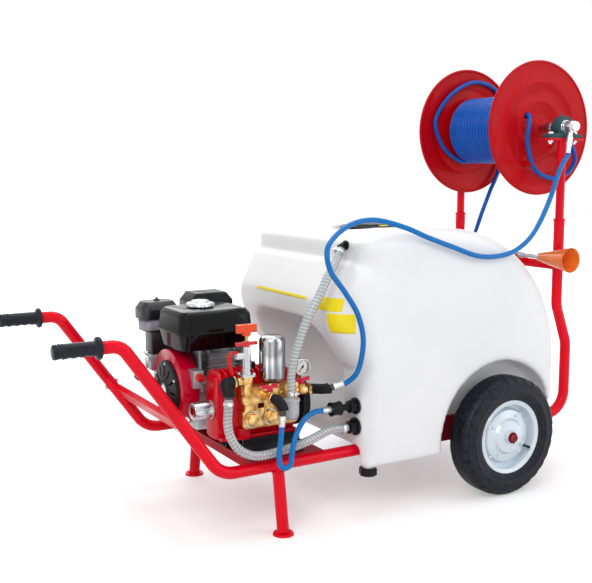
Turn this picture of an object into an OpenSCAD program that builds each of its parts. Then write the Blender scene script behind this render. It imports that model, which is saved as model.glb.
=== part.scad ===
// Wheeled sprayer cart: a steel tube barrow frame with a 200 litre tank, a petrol engine that
// drives a plunger pump by belt, and a hose reel on two posts behind the tank.
// X runs from the handles (-X) to the reel (+X), Y across, Z up from the ground.
// The origin is on the ground, in the middle of the cart's length and width.

/* [Wheels] */
// Outside diameter of a tyre
tyre_d = 370; // [340:1:410]
// Width of a tyre
tyre_w = 90; // [80:1:100]
// Distance from the cart's middle to a wheel's middle plane
wheel_y = 342; // [338:1:352]
// Place of the axle line along the cart
wheel_x = 420; // [400:1:440]
// Diameter of the rim flange
rim_d = 229; // [224:1:234]
// Diameter of the stub axle
axle_d = 20; // [16:1:25]
// Distance from the cart's middle to the end of an axle
axle_end_y = 400; // [396:1:410]

/* [Frame] */
// Outside diameter of the frame tube
tube_d = 34; // [30:1:38]
// Wall of the frame tube
tube_wall = 2.6; // [2:0.1:4]
// Height of the rails' centre line
rail_z = 190; // [180:1:196]
// Distance from the cart's middle to a rail at its front bend
rail_front_y = 270; // [262:1:276]
// Distance from the cart's middle to a rail at the rear posts
rail_rear_y = 246; // [240:1:252]
// Place of the front bend's corner
front_bend_x = -509; // [-530:1:-495]
// Place of the handle's corner
handle_corner_x = -778; // [-800:1:-760]
// Height of the handles
handle_z = 566; // [540:1:620]
// Height of the joint between side tube and handle
handle_joint_z = 366; // [355:1:400]
// Distance from the origin to the tip of a grip
grip_tip = 950; // [930:1:980]
// Length of a grip
grip_len = 119; // [100:1:130]
// Outside diameter of a grip
grip_d = 39; // [38:1:44]
// Height of the top of the lower posts
post_joint_z = 838; // [820:1:860]
// How far the lower post stands behind the reel's axis
post_jog = 48; // [20:1:60]
// Outside diameter of the upper posts
upper_post_d = 27; // [24:1:28]
// Place of the front legs
leg_x = -334; // [-350:1:-320]
// Distance from the cart's middle to a foot
foot_y = 298; // [290:1:320]
// Diameter of a foot
foot_d = 60; // [50:1:80]

/* [Tank] */
// Width of the tank
tank_w = 670; // [650:1:690]
// Height of the tank's top
tank_top = 822; // [800:1:850]
// Wall of the tank
tank_wall = 6; // [4:0.5:8]
// Place of the lid along the cart
lid_x = 150; // [120:1:170]
// Radius of the filler neck, outside
neck_r = 80; // [70:1:90]
// Depth of the strainer basket
basket_depth = 120; // [80:1:180]

/* [Reel] */
// Diameter of the reel's discs
disc_d = 440; // [400:2:460]
// Height of the reel's axis
reel_z = 1132; // [1110:1:1160]
// Place of the near disc
disc_near_y = -143; // [-160:1:-140]
// Place of the far disc
disc_far_y = 215; // [205:1:216]
// Diameter of the hose on the reel
reel_hose_d = 14.5; // [12:0.5:15]
// Distance from one turn of the hose to the next
turn_pitch = 15.4; // [15.4:0.1:16]
// Number of turns in the outer layer
turns = 20; // [8:1:20]
// Radius of the drum under the outer layer
drum_r = 99; // [90:1:110]
// Diameter of the reel's shaft
shaft_d = 25; // [20:1:30]
// Length of the crank arm between its centres
crank_len = 150; // [110:1:180]

/* [Engine] */
// Height of the crankshaft
crank_z = 368; // [360:1:376]
// Place of the crankshaft across the cart
crank_y = 15; // [10:1:20]
// Radius of the fan housing
fan_r = 110; // [104:1:112]
// Length of the fuel tank
fuel_len = 226; // [200:1:236]
// Depth of the fuel tank, front to back
fuel_depth = 186; // [160:1:190]

/* [Pump] */
// Height of the pump's shaft
pump_z = 345; // [340:1:352]
// Place of the pump's shaft across the cart
pump_y = -168; // [-172:1:-164]
// Radius of the air chamber
chamber_r = 36; // [30:1:37]
// Height of the air chamber
chamber_h = 130; // [100:1:140]
// Pitch radius of the pump's pulley
pump_pulley_r = 72; // [62:1:73]
// Pitch radius of the engine's pulley
engine_pulley_r = 36; // [30:1:44]
// Radius of the pressure gauge
gauge_r = 24; // [20:1:30]

/* [Hoses] */
// Diameter of the pressure and agitator hoses
blue_hose_d = 15; // [12:0.5:16]
// Diameter of the clear hoses
clear_hose_d = 26; // [22:0.5:28]

/* [Hidden] */

fit = 0.05;       // radial clearance of a running fit
gap = 0.3;        // clearance between a moving piece and its neighbour
tube_r = tube_d / 2;
post_r = upper_post_d / 2;
reel_x = grip_tip - disc_d / 2;
plate_t = 5;
plate_top = rail_z + tube_r + plate_t;
base_top = 262;
red = "#c8102e";

// ---------- helpers ----------

// Column vectors of a right-handed frame whose Z is v
module frame_at(p, ex, ey, ez)
  multmatrix([[ex.x, ey.x, ez.x, p.x], [ex.y, ey.y, ez.y, p.y], [ex.z, ey.z, ez.z, p.z]])
    children();

// A round bar from point a to point b
module bar(a, b, r, fn = 48) {
  v = b - a;
  translate(a) rotate([0, acos(v.z / norm(v)), atan2(v.y, v.x)])
    cylinder(h = norm(v), r = r, $fn = fn);
}

// A bar along X or Y from one coordinate to another
module bar_x(x0, x1, y, z, r) translate([x0, y, z]) rotate([0, 90, 0])
  cylinder(h = x1 - x0, r = r, $fn = 64);
module bar_y(y0, y1, x, z, r) translate([x, y0, z]) rotate([-90, 0, 0])
  cylinder(h = y1 - y0, r = r, $fn = 64);

// A box given by its low and high corners
module box(a, b) translate(a) cube(b - a);

function unit(v) = v / norm(v);
// Half of the angle between the two runs that meet at corner i
function half_angle(p, i) = acos(unit(p[i - 1] - p[i]) * unit(p[i + 1] - p[i])) / 2;
function tangent(p, rad, i) =
  i == 0 || i == len(p) - 1 ? 0 : rad[i] / tan(half_angle(p, i));

// A bent round bar through the points p, with bend radius rad[i] at corner i.
// The bends are a hair fatter than the straights, which reach a little way into them.
bend_fat = 0.05;
bend_in = 0.4;
module bent_bar(p, rad, r, over = 0) {
  last = len(p) - 1;
  for (i = [0:last - 1]) {
    u = unit(p[i + 1] - p[i]);
    a = p[i] + u * (tangent(p, rad, i) - (i == 0 ? over : bend_in));
    b = p[i + 1] - u * (tangent(p, rad, i + 1) - (i == last - 1 ? over : bend_in));
    bar(a, b, r);
  }
  for (i = [1:last - 1]) {
    u = unit(p[i - 1] - p[i]);
    w = unit(p[i + 1] - p[i]);
    h = half_angle(p, i);
    centre = p[i] + unit(u + w) * rad[i] / sin(h);
    ex = unit(p[i] + u * tangent(p, rad, i) - centre);
    frame_at(centre, ex, -u, cross(ex, -u))
      rotate_extrude(angle = 180 - 2 * h, $fn = 96)
        translate([rad[i], 0]) circle(r = r + bend_fat, $fn = 48);
  }
}
module bent_tube(p, rad, r, wall) difference() {
  bent_bar(p, rad, r);
  bent_bar(p, rad, r - wall, over = 1);
}

// Points on a smooth curve through the points p, n steps to a span
function curve(p, n) = [for (i = [0:len(p) - 2]) for (k = [0:n - 1])
  let (a = p[max(i - 1, 0)], b = p[i], c = p[i + 1], d = p[min(i + 2, len(p) - 1)], t = k / n)
  b + t / 2 * (c - a) + t * t / 2 * (2 * a - 5 * b + 4 * c - d)
    + t * t * t / 2 * (3 * b - a - 3 * c + d), p[len(p) - 1]];

// Direction of a route at point i
function along(p, i) = unit(p[min(i + 1, len(p) - 1)] - p[max(i - 1, 0)]);
// Side direction carried along the route without twist
function sides(p, s, i = 0, out = []) = i == len(p) ? out :
  let (t = along(p, i), n = unit(s - (s * t) * t)) sides(p, n, i + 1, concat(out, [n]));
function first_side(p) = let (t = along(p, 0)) abs(t.z) < 0.8 ? [0, 0, 1] : [0, 1, 0];
function ring(c, t, n, r, m) = let (b = cross(t, n))
  [for (k = [0:m - 1]) c + r * (cos(360 * k / m) * n + sin(360 * k / m) * b)];
// Rings of m points, one at each route point, with radius r[i]
function rings(p, r, m) = let (n = sides(p, first_side(p)))
  [for (i = [0:len(p) - 1]) ring(p[i], along(p, i), n[i], r[i], m)];
// Corners of a rectangle with rounded corners
function rounded(x0, y0, x1, y1, r, n = 5) = [for (q = [0:3]) for (k = [0:n])
  let (a = 90 * (q + k / n)) [(q == 0 || q == 3 ? x1 - r : x0 + r) + r * cos(a),
    (q < 2 ? y1 - r : y0 + r) + r * sin(a)]];
function flat_list(l) = [for (a = l) for (b = a) b];
// Two triangles for each side between ring i and ring j
function skin(i, j, m) = [for (k = [0:m - 1]) let (q = (k + 1) % m)
  each [[i * m + k, i * m + q, j * m + q], [i * m + k, j * m + q, j * m + k]]];

// A solid hose along a route
module hose(p, d, m = 10) {
  all = rings(p, [for (i = p) d / 2], m);
  n = len(all);
  polyhedron(flat_list(all), concat(
    [for (k = [1:m - 2]) [0, k + 1, k]],
    [for (i = [0:n - 2]) each [for (f = skin(i, i + 1, m)) [f[0], f[1], f[2]]]],
    [for (k = [1:m - 2]) [(n - 1) * m, (n - 1) * m + k, (n - 1) * m + k + 1]]));
}

// A hose with ribs outside and a plain bore, with plain ends one diameter long
module ribbed_hose(route, d, wall, ribs, m = 8) {
  fine = curve(route, 12);
  count = len(fine) - 1;
  run = [for (i = 0, s = 0; i <= count; s = s + norm(fine[min(i + 1, count)] - fine[i]),
    i = i + 1) s];
  total = run[count];
  span = total - 2 * d;
  outer_s = concat([0], flat_list([for (k = [0:ribs - 1])
    [d + span * k / ribs, d + span * (k + 0.5) / ribs]]), [total - d, total]);
  outer_r = concat([d / 2 - 0.8], flat_list([for (k = [0:ribs - 1]) [d / 2 - 0.8, d / 2]]),
    [d / 2 - 0.8, d / 2 - 0.8]);
  inner_n = round(ribs / 3);
  inner_s = [for (k = [0:inner_n]) total * (1 - k / inner_n)];
  function place(s) = let (i = max([for (j = [0:count - 1]) if (run[j] <= s) j]))
    fine[i] + (fine[i + 1] - fine[i]) * min(1, (s - run[i]) / (run[i + 1] - run[i]));
  outer_p = [for (s = outer_s) place(s)];
  inner_p = [for (s = inner_s) place(s)];
  out_rings = rings(outer_p, outer_r, m);
  back = rings([for (i = [len(inner_p) - 1:-1:0]) inner_p[i]],
    [for (i = inner_p) d / 2 - wall], m);
  in_rings = [for (i = [len(back) - 1:-1:0]) back[i]];
  all = concat(out_rings, in_rings);
  n = len(all);
  polyhedron(flat_list(all),
    [for (i = [0:n - 1]) each skin(i, (i + 1) % n, m)]);
}

// A flat outline in (Y, Z) pushed along X, or in (X, Z) pushed along Y
module along_x(x0, x1) translate([x0, 0, 0]) rotate([90, 0, 90])
  linear_extrude(x1 - x0) children();
module along_y(y0, y1) translate([0, y1, 0]) rotate([90, 0, 0])
  linear_extrude(y1 - y0) children();
module disc_z(p, r, h) translate(p) cylinder(h = h, r = r, $fn = 64);

module mirrored_y() {
  children();
  mirror([0, 1, 0]) children();
}

// ---------- frame ----------

// Corner points of the side tube, from the top of the lower post to the handle joint
slope_dir = unit([handle_corner_x - front_bend_x, 0, handle_z - rail_z]);
function on_slope(z, y = rail_front_y) =
  [front_bend_x, y, rail_z] + slope_dir * (z - rail_z) / slope_dir.z;
function rail_y(x) = rail_front_y + (rail_rear_y - rail_front_y)
  * (x - front_bend_x) / (reel_x + post_jog - front_bend_x);
side_path = [[reel_x, rail_rear_y, post_joint_z], [reel_x, rail_rear_y, 555],
  [reel_x + post_jog, rail_rear_y, 425], [reel_x + post_jog, rail_rear_y, rail_z],
  [front_bend_x, rail_front_y, rail_z], on_slope(handle_joint_z)];
side_bends = [0, 90, 90, 74, 80, 0];
bolt_r = 4;
bolt_z = handle_joint_z - 22;
slope_normal = [slope_dir.z, 0, -slope_dir.x];

module rail_bar(r) bar([front_bend_x, rail_front_y, rail_z],
  [reel_x + post_jog, rail_rear_y, rail_z], r);
module slope_bar(r) bar(on_slope(rail_z), on_slope(handle_z), r);
module bolt_hole(r) let (c = on_slope(bolt_z)) bar(c - slope_normal * 40,
  c + slope_normal * 40, r, 24);

module side_tube() color(red) {
  difference() {
    bent_tube(side_path, side_bends, tube_r, tube_wall);
    bolt_hole(bolt_r + 0.2);
  }
  translate([reel_x, rail_rear_y, post_joint_z - 8]) rotate_extrude($fn = 48)
    translate([tube_r, 0]) polygon([[0, 0], [2, 2], [2, 6], [0, 8]]);
}
module side_tube_left() side_tube();
module side_tube_right() mirror([0, 1, 0]) side_tube();

// Cross tube between the rails, cut to fit round them
module cross_tube(x, z, r, y) difference() {
  bar_y(-y, y, x, z, r);
  bar_y(-y - 1, y + 1, x, z, r - tube_wall);
  mirrored_y() rail_bar(tube_r);
}
rear_bar_z = 684;
rear_bar_r = 14;
hook_y = 110;
lance_x = 684;
lance_z = 712;
sleeve_r = 9;
module hook(y) translate([0, y - 3, 0]) difference() {
  translate([0, 6, 0]) rotate([90, 0, 0]) linear_extrude(6) polygon([
    [reel_x - 2, rear_bar_z + rear_bar_r + 8], [reel_x - 2, rear_bar_z],
    [lance_x - 17, rear_bar_z + 8], [lance_x - 17, lance_z + 6],
    [lance_x - 12, lance_z + 6], [lance_x - 12, lance_z - 5],
    [lance_x + 16, lance_z - 5]]);
  bar_y(-20, 20, reel_x, rear_bar_z, rear_bar_r);
  bar_y(-20, 20, lance_x, lance_z, sleeve_r + 0.2);
}
crossbar_z = 319;
crossbar_w = 46;
module cross_members() color(red) {
  for (x = [-400, -215, 60, 300, 640]) cross_tube(x, rail_z - 3, tube_r - 4, rail_y(x));
  difference() {
    bar_y(-rail_rear_y, rail_rear_y, reel_x, rear_bar_z, rear_bar_r);
    bar_y(-rail_rear_y - 1, rail_rear_y + 1, reel_x, rear_bar_z, rear_bar_r - tube_wall);
    mirrored_y() bar([reel_x, rail_rear_y, 600], [reel_x, rail_rear_y, 760], tube_r);
  }
  for (y = [-hook_y, hook_y]) hook(y);
  // channel bar between the sloping tubes
  difference() {
    frame_at(on_slope(crossbar_z, 0), slope_dir, [0, 1, 0], -slope_normal) {
      translate([-crossbar_w / 2, -rail_front_y, -2]) cube([crossbar_w, 2 * rail_front_y, 4]);
      for (s = [-1, 1]) translate([s * (crossbar_w / 2 - 2) - 2, -rail_front_y, -14])
        cube([4, 2 * rail_front_y, 14]);
    }
    mirrored_y() slope_bar(tube_r);
  }
}

plate_x0 = -420;
plate_x1 = -190;
plate_y = 274;
module engine_plate() color(red) difference() {
  union() {
    box([plate_x0, -plate_y, plate_top - plate_t], [plate_x1, plate_y, plate_top]);
    for (x = [plate_x0, plate_x1 - 4]) difference() {
      box([x, -plate_y + 12, plate_top - 26], [x + 4, plate_y - 12, plate_top - plate_t]);
      mirrored_y() rail_bar(tube_r);
      bar_y(-270, 270, -400, rail_z - 3, tube_r - 4);
      bar_y(-270, 270, -215, rail_z - 3, tube_r - 4);
    }
  }
  for (p = mount_bolts) translate([p.x, p.y, 0]) cylinder(h = 400, r = 5.2, $fn = 24);
}
base_wall = 4;
mount_bolts = [[-365, -236], [-275, -236], [-365, 134], [-275, 134]];

leg_top_z = rail_z;
module legs() color(red) mirrored_y() {
  difference() {
    union() {
      bar([leg_x, rail_y(leg_x), leg_top_z], [leg_x, foot_y, 4], tube_r);
      translate([leg_x, foot_y, 0]) cylinder(h = 6, r1 = foot_d / 2, r2 = foot_d / 2 - 2,
        $fn = 64);
    }
    rail_bar(tube_r);
    difference() {
      bar([leg_x, rail_y(leg_x), leg_top_z], [leg_x, foot_y, 4], tube_r - tube_wall);
      box([leg_x - 40, 0, -10], [leg_x + 40, 400, 8]);
    }
  }
}

handle_path = [on_slope(handle_joint_z), [handle_corner_x, rail_front_y, handle_z],
  [-grip_tip + 6, rail_front_y, handle_z]];
stub_len = 56;
module handle() difference() {
  union() {
    bent_bar(handle_path, [0, 48, 0], tube_r);
    bar(on_slope(handle_joint_z) - slope_dir * stub_len, on_slope(handle_joint_z)
      + slope_dir, tube_r - tube_wall - 0.2);
  }
  bent_bar(handle_path, [0, 48, 0], tube_r - 2 * tube_wall - 0.2, over = stub_len + 1);
  bolt_hole(bolt_r + 0.2);
}
module handles() color(red) mirrored_y() handle();

module grip() difference() {
  translate([-grip_tip, rail_front_y, handle_z]) rotate([0, 90, 0]) rotate_extrude($fn = 64)
    polygon([[0, 0], [grip_d / 2 - 5, 0], [grip_d / 2, 5], [grip_d / 2 - 1, 20],
      [grip_d / 2 + 1, 60], [grip_d / 2 - 1, grip_len - 14], [29, grip_len - 9],
      [29, grip_len], [0, grip_len]]);
  bar_x(-grip_tip + 5.8, 0, rail_front_y, handle_z, tube_r + 0.05);
  for (i = [0:3]) bar_y(rail_front_y - 40, rail_front_y + 40,
    -grip_tip + 20 + 22 * i, handle_z - grip_d / 2 - 9.5, 12);
}
module grips() color("#1c1c1e") mirrored_y() grip();

module hex(r, h) cylinder(h = h, r = r, $fn = 6);
// Bolt with its head at the top, its nut below, through a stack of the given thickness
module bolt(r, stack, below = 6) {
  translate([0, 0, -below - 6]) cylinder(h = stack + below + 6, r = r, $fn = 24);
  translate([0, 0, stack]) hex(1.9 * r, 1.3 * r);
  translate([0, 0, -1.4 * r]) difference() {
    hex(1.9 * r, 1.4 * r);
    translate([0, 0, -1]) cylinder(h = 2 * r, r = r, $fn = 24);
  }
}
pillow_base = 14;
block_bolt = 52.5;
module fasteners() color("#c9ccd1") {
  mirrored_y() let (c = on_slope(bolt_z))
    frame_at(c - slope_normal * (tube_r + 0.1), slope_dir, [0, -1, 0], slope_normal)
      bolt(bolt_r, tube_d + 0.2);
  mirrored_y() for (s = [-1, 1])
    translate([reel_x + s * block_bolt, rail_rear_y, reel_z - 36.5 - 6])
      bolt(5, pillow_base + 6);
  for (p = mount_bolts) translate([p.x, p.y, plate_top - plate_t]) bolt(5, plate_t + base_wall);
}

hub_len = tyre_w;
axle_plate_y = rail_front_y - 2;
module axle() color("#8d1224") mirrored_y() difference() {
  union() {
    translate([0, axle_plate_y + 8, 0]) rotate([90, 0, 0]) linear_extrude(8) polygon([
      [wheel_x - 205, rail_z - tube_r], [wheel_x + 205, rail_z - tube_r],
      [wheel_x + 205, rail_z + tube_r + 28], [wheel_x + 190, rail_z + tube_r + 43],
      [wheel_x - 190, rail_z + tube_r + 43], [wheel_x - 205, rail_z + tube_r + 28]]);
    bar_y(axle_plate_y + 4, wheel_y - hub_len / 2 - gap, wheel_x, tyre_d / 2, axle_d / 2 + 8);
    bar_y(axle_plate_y + 4, axle_end_y, wheel_x, tyre_d / 2, axle_d / 2);
    // washer, trapped by the split pin
    bar_y(wheel_y + hub_len / 2 + gap, wheel_y + hub_len / 2 + 3.3, wheel_x, tyre_d / 2,
      axle_d / 2 + 7);
    translate([wheel_x, axle_end_y - 6, tyre_d / 2 - 18]) cylinder(h = 36, r = 2, $fn = 24);
  }
  rail_bar(tube_r);
}

// ---------- wheels ----------

seat_r = rim_d / 2 - 13;
// Half section of the tyre: distance from the middle plane, radius
tread = [[0, 0], [0.156, 0], [0.44, 0.8], [0.72, 5], [0.91, 14], [1, 32], [0.98, 47],
  [0.87, 62]];
module tyre() color("#232427") rotate([90, 0, 0]) difference() {
  rotate_extrude($fn = 128) {
    r = tyre_d / 2;
    h = tyre_w / 2;
    outer = [for (t = tread) [r - t[1], t[0] * h]];
    bead = [[rim_d / 2 + 0.3, 38], [rim_d / 2 + 0.3, 34], [seat_r + 2.2, 32.8],
      [seat_r + 0.2, 30], [seat_r + 0.2, 20], [seat_r + 8, 20]];
    inner = [for (i = [len(tread) - 1:-1:0]) [r - tread[i][1] - 9, tread[i][0] * (h - 9)]];
    half = concat(outer, bead, inner);
    polygon(concat(half, [for (i = [len(half) - 2:-1:1]) [half[i].x, -half[i].y]]));
  }
  for (s = [-1, 1]) for (t = [9.5, 22]) translate([0, 0, s * t - 1.7]) difference() {
    cylinder(h = 3.4, r = tyre_d, $fn = 128);
    translate([0, 0, -1]) cylinder(h = 6, r = tyre_d / 2 - 5, $fn = 128);
  }
}
// Pressed wheel: barrel, two dished webs and a hub tube
module rim() color("#dfe6ee") rotate([90, 0, 0]) {
  difference() {
    rotate_extrude($fn = 128) {
      for (s = [0, 1]) mirror([0, s]) {
        polygon([[seat_r - 2.5, 0], [seat_r, 0], [seat_r, 30], [seat_r + 1.8, 33.2],
          [rim_d / 2 - 1, 34.4], [rim_d / 2, 36.8], [rim_d / 2 - 1.5, 38.2],
          [rim_d / 2 - 3.5, 37], [seat_r - 0.5, 35.6], [seat_r - 2.5, 31]]);
        polygon([[seat_r - 2, 4], [seat_r - 2, 8], [88, 9], [80, 21], [56, 25], [49, 34],
          [21, 35], [21, 32.4], [47.4, 31.4], [54.4, 22.6], [78.6, 18.4], [86.5, 6.5]]);
      }
      polygon([[axle_d / 2 + fit, -hub_len / 2], [axle_d / 2 + 9, -hub_len / 2],
        [axle_d / 2 + 12, -38], [axle_d / 2 + 12, 38], [axle_d / 2 + 9, hub_len / 2],
        [axle_d / 2 + fit, hub_len / 2]]);
    }
  }
  for (s = [0, 1]) mirror([0, 0, s]) for (a = [0:90:270]) rotate(a + 30)
    translate([67, 0, 19]) cylinder(h = 8, r1 = 3.1, r2 = 5.5, $fn = 24);
}
module at_wheel(side) translate([wheel_x, side * wheel_y, tyre_d / 2]) rotate([0, 0,
  side > 0 ? 0 : 180]) children();
module tyre_left() at_wheel(1) tyre();
module tyre_right() at_wheel(-1) tyre();
module rim_left() at_wheel(1) rim();
module rim_right() at_wheel(-1) rim();

// ---------- tank ----------

tank_front = -86;
tank_rear = reel_x - 27;
channel_top = rail_z + tube_r;
channel_y = rail_front_y + tube_r + 3;
skirt_z = 152;
arch_r = tyre_d / 2 + 43;
arch_y = 264;
edge_r = 45;
hood_x = -175;
hood_top = 635;
well_r = 115;
well_z = tank_top - 24;
barb_at = [tank_front, -226, 784];
upper_port = [tank_front, -283, 328];
lower_port = [tank_front, -283, 268];
drain_at = [-62, -312, 138];

// Inset of the sides where the top edge rounds over
function edge_in(z) = z < tank_top - edge_r ? 0
  : edge_r - sqrt(max(0, edge_r * edge_r - pow(z - tank_top + edge_r, 2)));
// The rear wall leans forward above its middle in a quarter of an ellipse
function rear_at(z) = tank_rear - 440
  + 440 * sqrt(max(0, 1 - pow((max(z, 400) - 400) / (tank_top - 400), 2)));
// Below its middle the rear wall is cut forward in a quarter of an ellipse
module tail_form(t) along_y(-400, 400) polygon(concat([[tank_rear + 60, 400 - t],
  [tank_rear + 60, 100], [tank_rear - 98 - t, 100]],
  [for (a = [72:-6:0]) [tank_rear - 140 + 140 * cos(a) - t, 400 - 260 * sin(a)]]));
body_levels = [skirt_z, 400, 480, 550, 610, 660, 700, 735, 765, tank_top - edge_r,
  tank_top - 27, tank_top - 14, tank_top - 5, tank_top];
module body_slab(z, t) let (i = edge_in(z), drop = max(0, z - tank_top + 18),
  y = tank_w / 2 - i - t, x0 = tank_front + i + t + 8 * drop, x1 = rear_at(z) - t)
    for (s = [-1, 1]) {
      rf = max(20, 60 - i - t);
      rb = max(40, 130 - i - t);
      translate([x0 + rf, s * (y - rf), z]) cylinder(h = 0.01, r = rf, $fn = 32);
      translate([x1 - rb, s * (y - rb), z]) cylinder(h = 0.01, r = rb, $fn = 32);
    }
module body_form(t) hull() {
  for (z = body_levels) body_slab(min(max(z, skirt_z + t), tank_top - t), t);
}
// Hood over the front: [X, half width, bottom, top, corner radius]
hood_steps = [[-50, 335, 425, 736, 40], [-102, 330, 445, 735, 60], [-132, 320, 490, 690, 90],
  [-160, 296, 540, 652, 90], [hood_x, 262, 575, 628, 50]];
module hood_form(t) hull() for (h = hood_steps) {
  along_x(h[0] + t, h[0] + t + 0.01) polygon(rounded(-h[1] + t, h[2] + t, h[1] - t,
    h[3] - t, min(h[4], (h[3] - h[2]) / 2 - t - 1), 7));
}
// Arched pocket under the hood: [X, half width, bottom, top, corner radius]
pocket_steps = [[-200, 214, 250, 574, 100], [-60, 204, 256, 560, 100],
  [10, 186, 270, 520, 90], [45, 140, 300, 460, 70]];
module pocket_form(t) hull() for (h = pocket_steps) {
  along_x(h[0] + t, h[0] + t + 0.01) polygon(rounded(-h[1] - t, h[2] - t, h[1] + t,
    h[3] + t, h[4] + t, 7));
}
// Wheel arches, open to the rear below arch_open_z
arch_open_z = 255;
module arch_form(t) mirrored_y() along_y(arch_y - t, 400) union() {
  translate([wheel_x, tyre_d / 2]) circle(r = arch_r + t, $fn = 96);
  translate([wheel_x, 0]) square([tank_rear + 50 - wheel_x, arch_open_z + t]);
}
module under_form(t) difference() {
  box([tank_front - 100, -channel_y - t, 0], [tank_rear + 60, channel_y + t, channel_top + t]);
}
module tank_outside() difference() {
  union() {
    body_form(0);
    hood_form(0);
  }
  pocket_form(0);
  arch_form(0);
  tail_form(0);
  under_form(0);
  disc_z([lid_x, 0, well_z], well_r, 60);
}
module tank_inside() difference() {
  union() {
    body_form(tank_wall);
    hood_form(tank_wall);
  }
  pocket_form(tank_wall);
  arch_form(tank_wall);
  tail_form(tank_wall);
  under_form(tank_wall);
  disc_z([lid_x, 0, well_z - tank_wall], well_r + tank_wall, 60);
  for (p = [upper_port, lower_port]) bar_x(p.x, p.x + 34, p.y, p.z, 36);
  bar_x(barb_at.x, barb_at.x + 30, barb_at.y, barb_at.z, 24);
  disc_z([drain_at.x, drain_at.y, 140], 24, 44);
}
neck_top = tank_top - 6;
module tank() color("#f4f6f8") difference() {
  union() {
    tank_outside();
    disc_z([lid_x, 0, well_z - 3], neck_r, neck_top - well_z + 3);
    for (p = [upper_port, lower_port]) bar_x(p.x, p.x + 30, p.y, p.z, 28);
    bar_x(barb_at.x, barb_at.x + 26, barb_at.y, barb_at.z, 17);
    disc_z(drain_at, 17, 30);
  }
  tank_inside();
  disc_z([lid_x, 0, well_z - 30], neck_r - 6, 80);
  for (p = [upper_port, lower_port]) bar_x(p.x - 1, p.x + 60, p.y, p.z, 10);
  bar_x(barb_at.x - 1, barb_at.x + 60, barb_at.y, barb_at.z, 7);
  disc_z([drain_at.x, drain_at.y, 100], 12, 100);
}

lid_skirt_r = neck_r + 10;
basket_lip = 2;
module tank_lid() color("#1d1e22") translate([lid_x, 0, 0]) difference() {
  union() {
    rotate_extrude($fn = 96) polygon([[0, neck_top + basket_lip + gap],
      [neck_r + 0.4, neck_top + basket_lip + gap], [neck_r + 0.4, well_z + 4],
      [lid_skirt_r - 2, well_z + 4], [lid_skirt_r, well_z + 8], [lid_skirt_r, tank_top - 4],
      [lid_skirt_r - 4, tank_top], [57, tank_top], [56, tank_top + 4], [0, tank_top + 5]]);
    for (a = [0:15:345]) rotate(a) translate([lid_skirt_r - 1, -3, well_z + 6])
      cube([4, 6, 13]);
    box([-12, -62, tank_top], [12, -44, tank_top + 5]);
  }
}
module strainer_basket() color("#d9b23a") translate([lid_x, 0, 0]) difference() {
  union() {
    rotate_extrude($fn = 96) polygon([[0, neck_top - basket_depth], [neck_r - 12,
      neck_top - basket_depth], [neck_r - 6.4, neck_top - 2], [neck_r - 6.4, neck_top],
      [neck_r - 1, neck_top], [neck_r - 1, neck_top + basket_lip],
      [neck_r - 9, neck_top + basket_lip], [neck_r - 14, neck_top - basket_depth + 3],
      [0, neck_top - basket_depth + 3]]);
  }
  for (a = [0:30:330]) rotate(a) box([40, -8, neck_top - basket_depth + 16],
    [neck_r + 5, 8, neck_top - 24]);
}
module drain_cap() color("#1d1e22") translate([drain_at.x, drain_at.y, 0]) difference() {
  union() {
    disc_z([0, 0, drain_at.z - 10], 23, skirt_z - drain_at.z + 10 - 2 * gap);
    for (a = [0:60:300]) rotate(a + 10) box([19, -3.5, drain_at.z - 8.5], [26, 3.5,
      skirt_z - 3.4]);
  }
  disc_z([0, 0, drain_at.z - gap], 17 + fit, 30);
}
module port(p, flange, nut, stem, len) {
  bar_x(p.x - 6, p.x, p.y, p.z, flange);
  translate([p.x - 26, p.y, p.z]) rotate([0, 90, 0]) hex(nut, 20);
  bar_x(p.x - len, p.x - 20, p.y, p.z, stem);
}
agitator_end = [upper_port.x - 88, upper_port.y, upper_port.z];
suction_end = [lower_port.x - 31, lower_port.y, lower_port.z];
return_end = barb_at + [-24, -8, -10];
return_dir = unit([-0.62, -0.4, -0.68]);
module tank_fittings() color("#1d1e22") {
  port(upper_port, 24, 19, blue_hose_d / 2 + 2, 88);
  port(lower_port, 26, 20, clear_hose_d / 2, 31);
  bar_x(barb_at.x - 5, barb_at.x, barb_at.y, barb_at.z, 14);
  bent_bar([barb_at, [return_end.x - 14 * return_dir.x, barb_at.y, barb_at.z], return_end],
    [0, 9, 0], 8);
  bar(return_end - 7 * return_dir, return_end, clear_hose_d / 2);
}

// ---------- reel ----------

post_top_z = reel_z - 36.5 - 6;
module reel_posts() color(red) mirrored_y() difference() {
  union() {
    bar([reel_x, rail_rear_y, post_joint_z - 80], [reel_x, rail_rear_y, post_top_z + 1], post_r);
    box([reel_x - 75, rail_rear_y - 22.5, post_top_z], [reel_x + 75, rail_rear_y + 22.5,
      post_top_z + 6]);
  }
  bar([reel_x, rail_rear_y, 0], [reel_x, rail_rear_y, post_top_z - 6], post_r - 2);
  for (s = [-1, 1]) disc_z([reel_x + s * block_bolt, rail_rear_y, post_top_z - 20], 5.2, 40);
}
shaft_r = shaft_d / 2;
module pillow_blocks() color("#37423f") mirrored_y() translate([reel_x, rail_rear_y, 0])
  difference() {
    union() {
      along_y(-19, 19) polygon([[-70, post_top_z + 6], [70, post_top_z + 6],
        [70, post_top_z + 17], [66, post_top_z + 20], [40, post_top_z + 20],
        [34, post_top_z + 24], [-34, post_top_z + 24], [-40, post_top_z + 20],
        [-66, post_top_z + 20], [-70, post_top_z + 17]]);
      bar_y(-15, 15, 0, reel_z, 35);
      bar_y(-17.5, 17.5, 0, reel_z, shaft_r + 7);
      disc_z([-12, 0, reel_z + 30], 3, 14);
    }
    bar_y(-20, 20, 0, reel_z, shaft_r + fit);
    for (s = [-1, 1]) disc_z([s * block_bolt, 0, post_top_z], 5.2, 60);
  }
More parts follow.
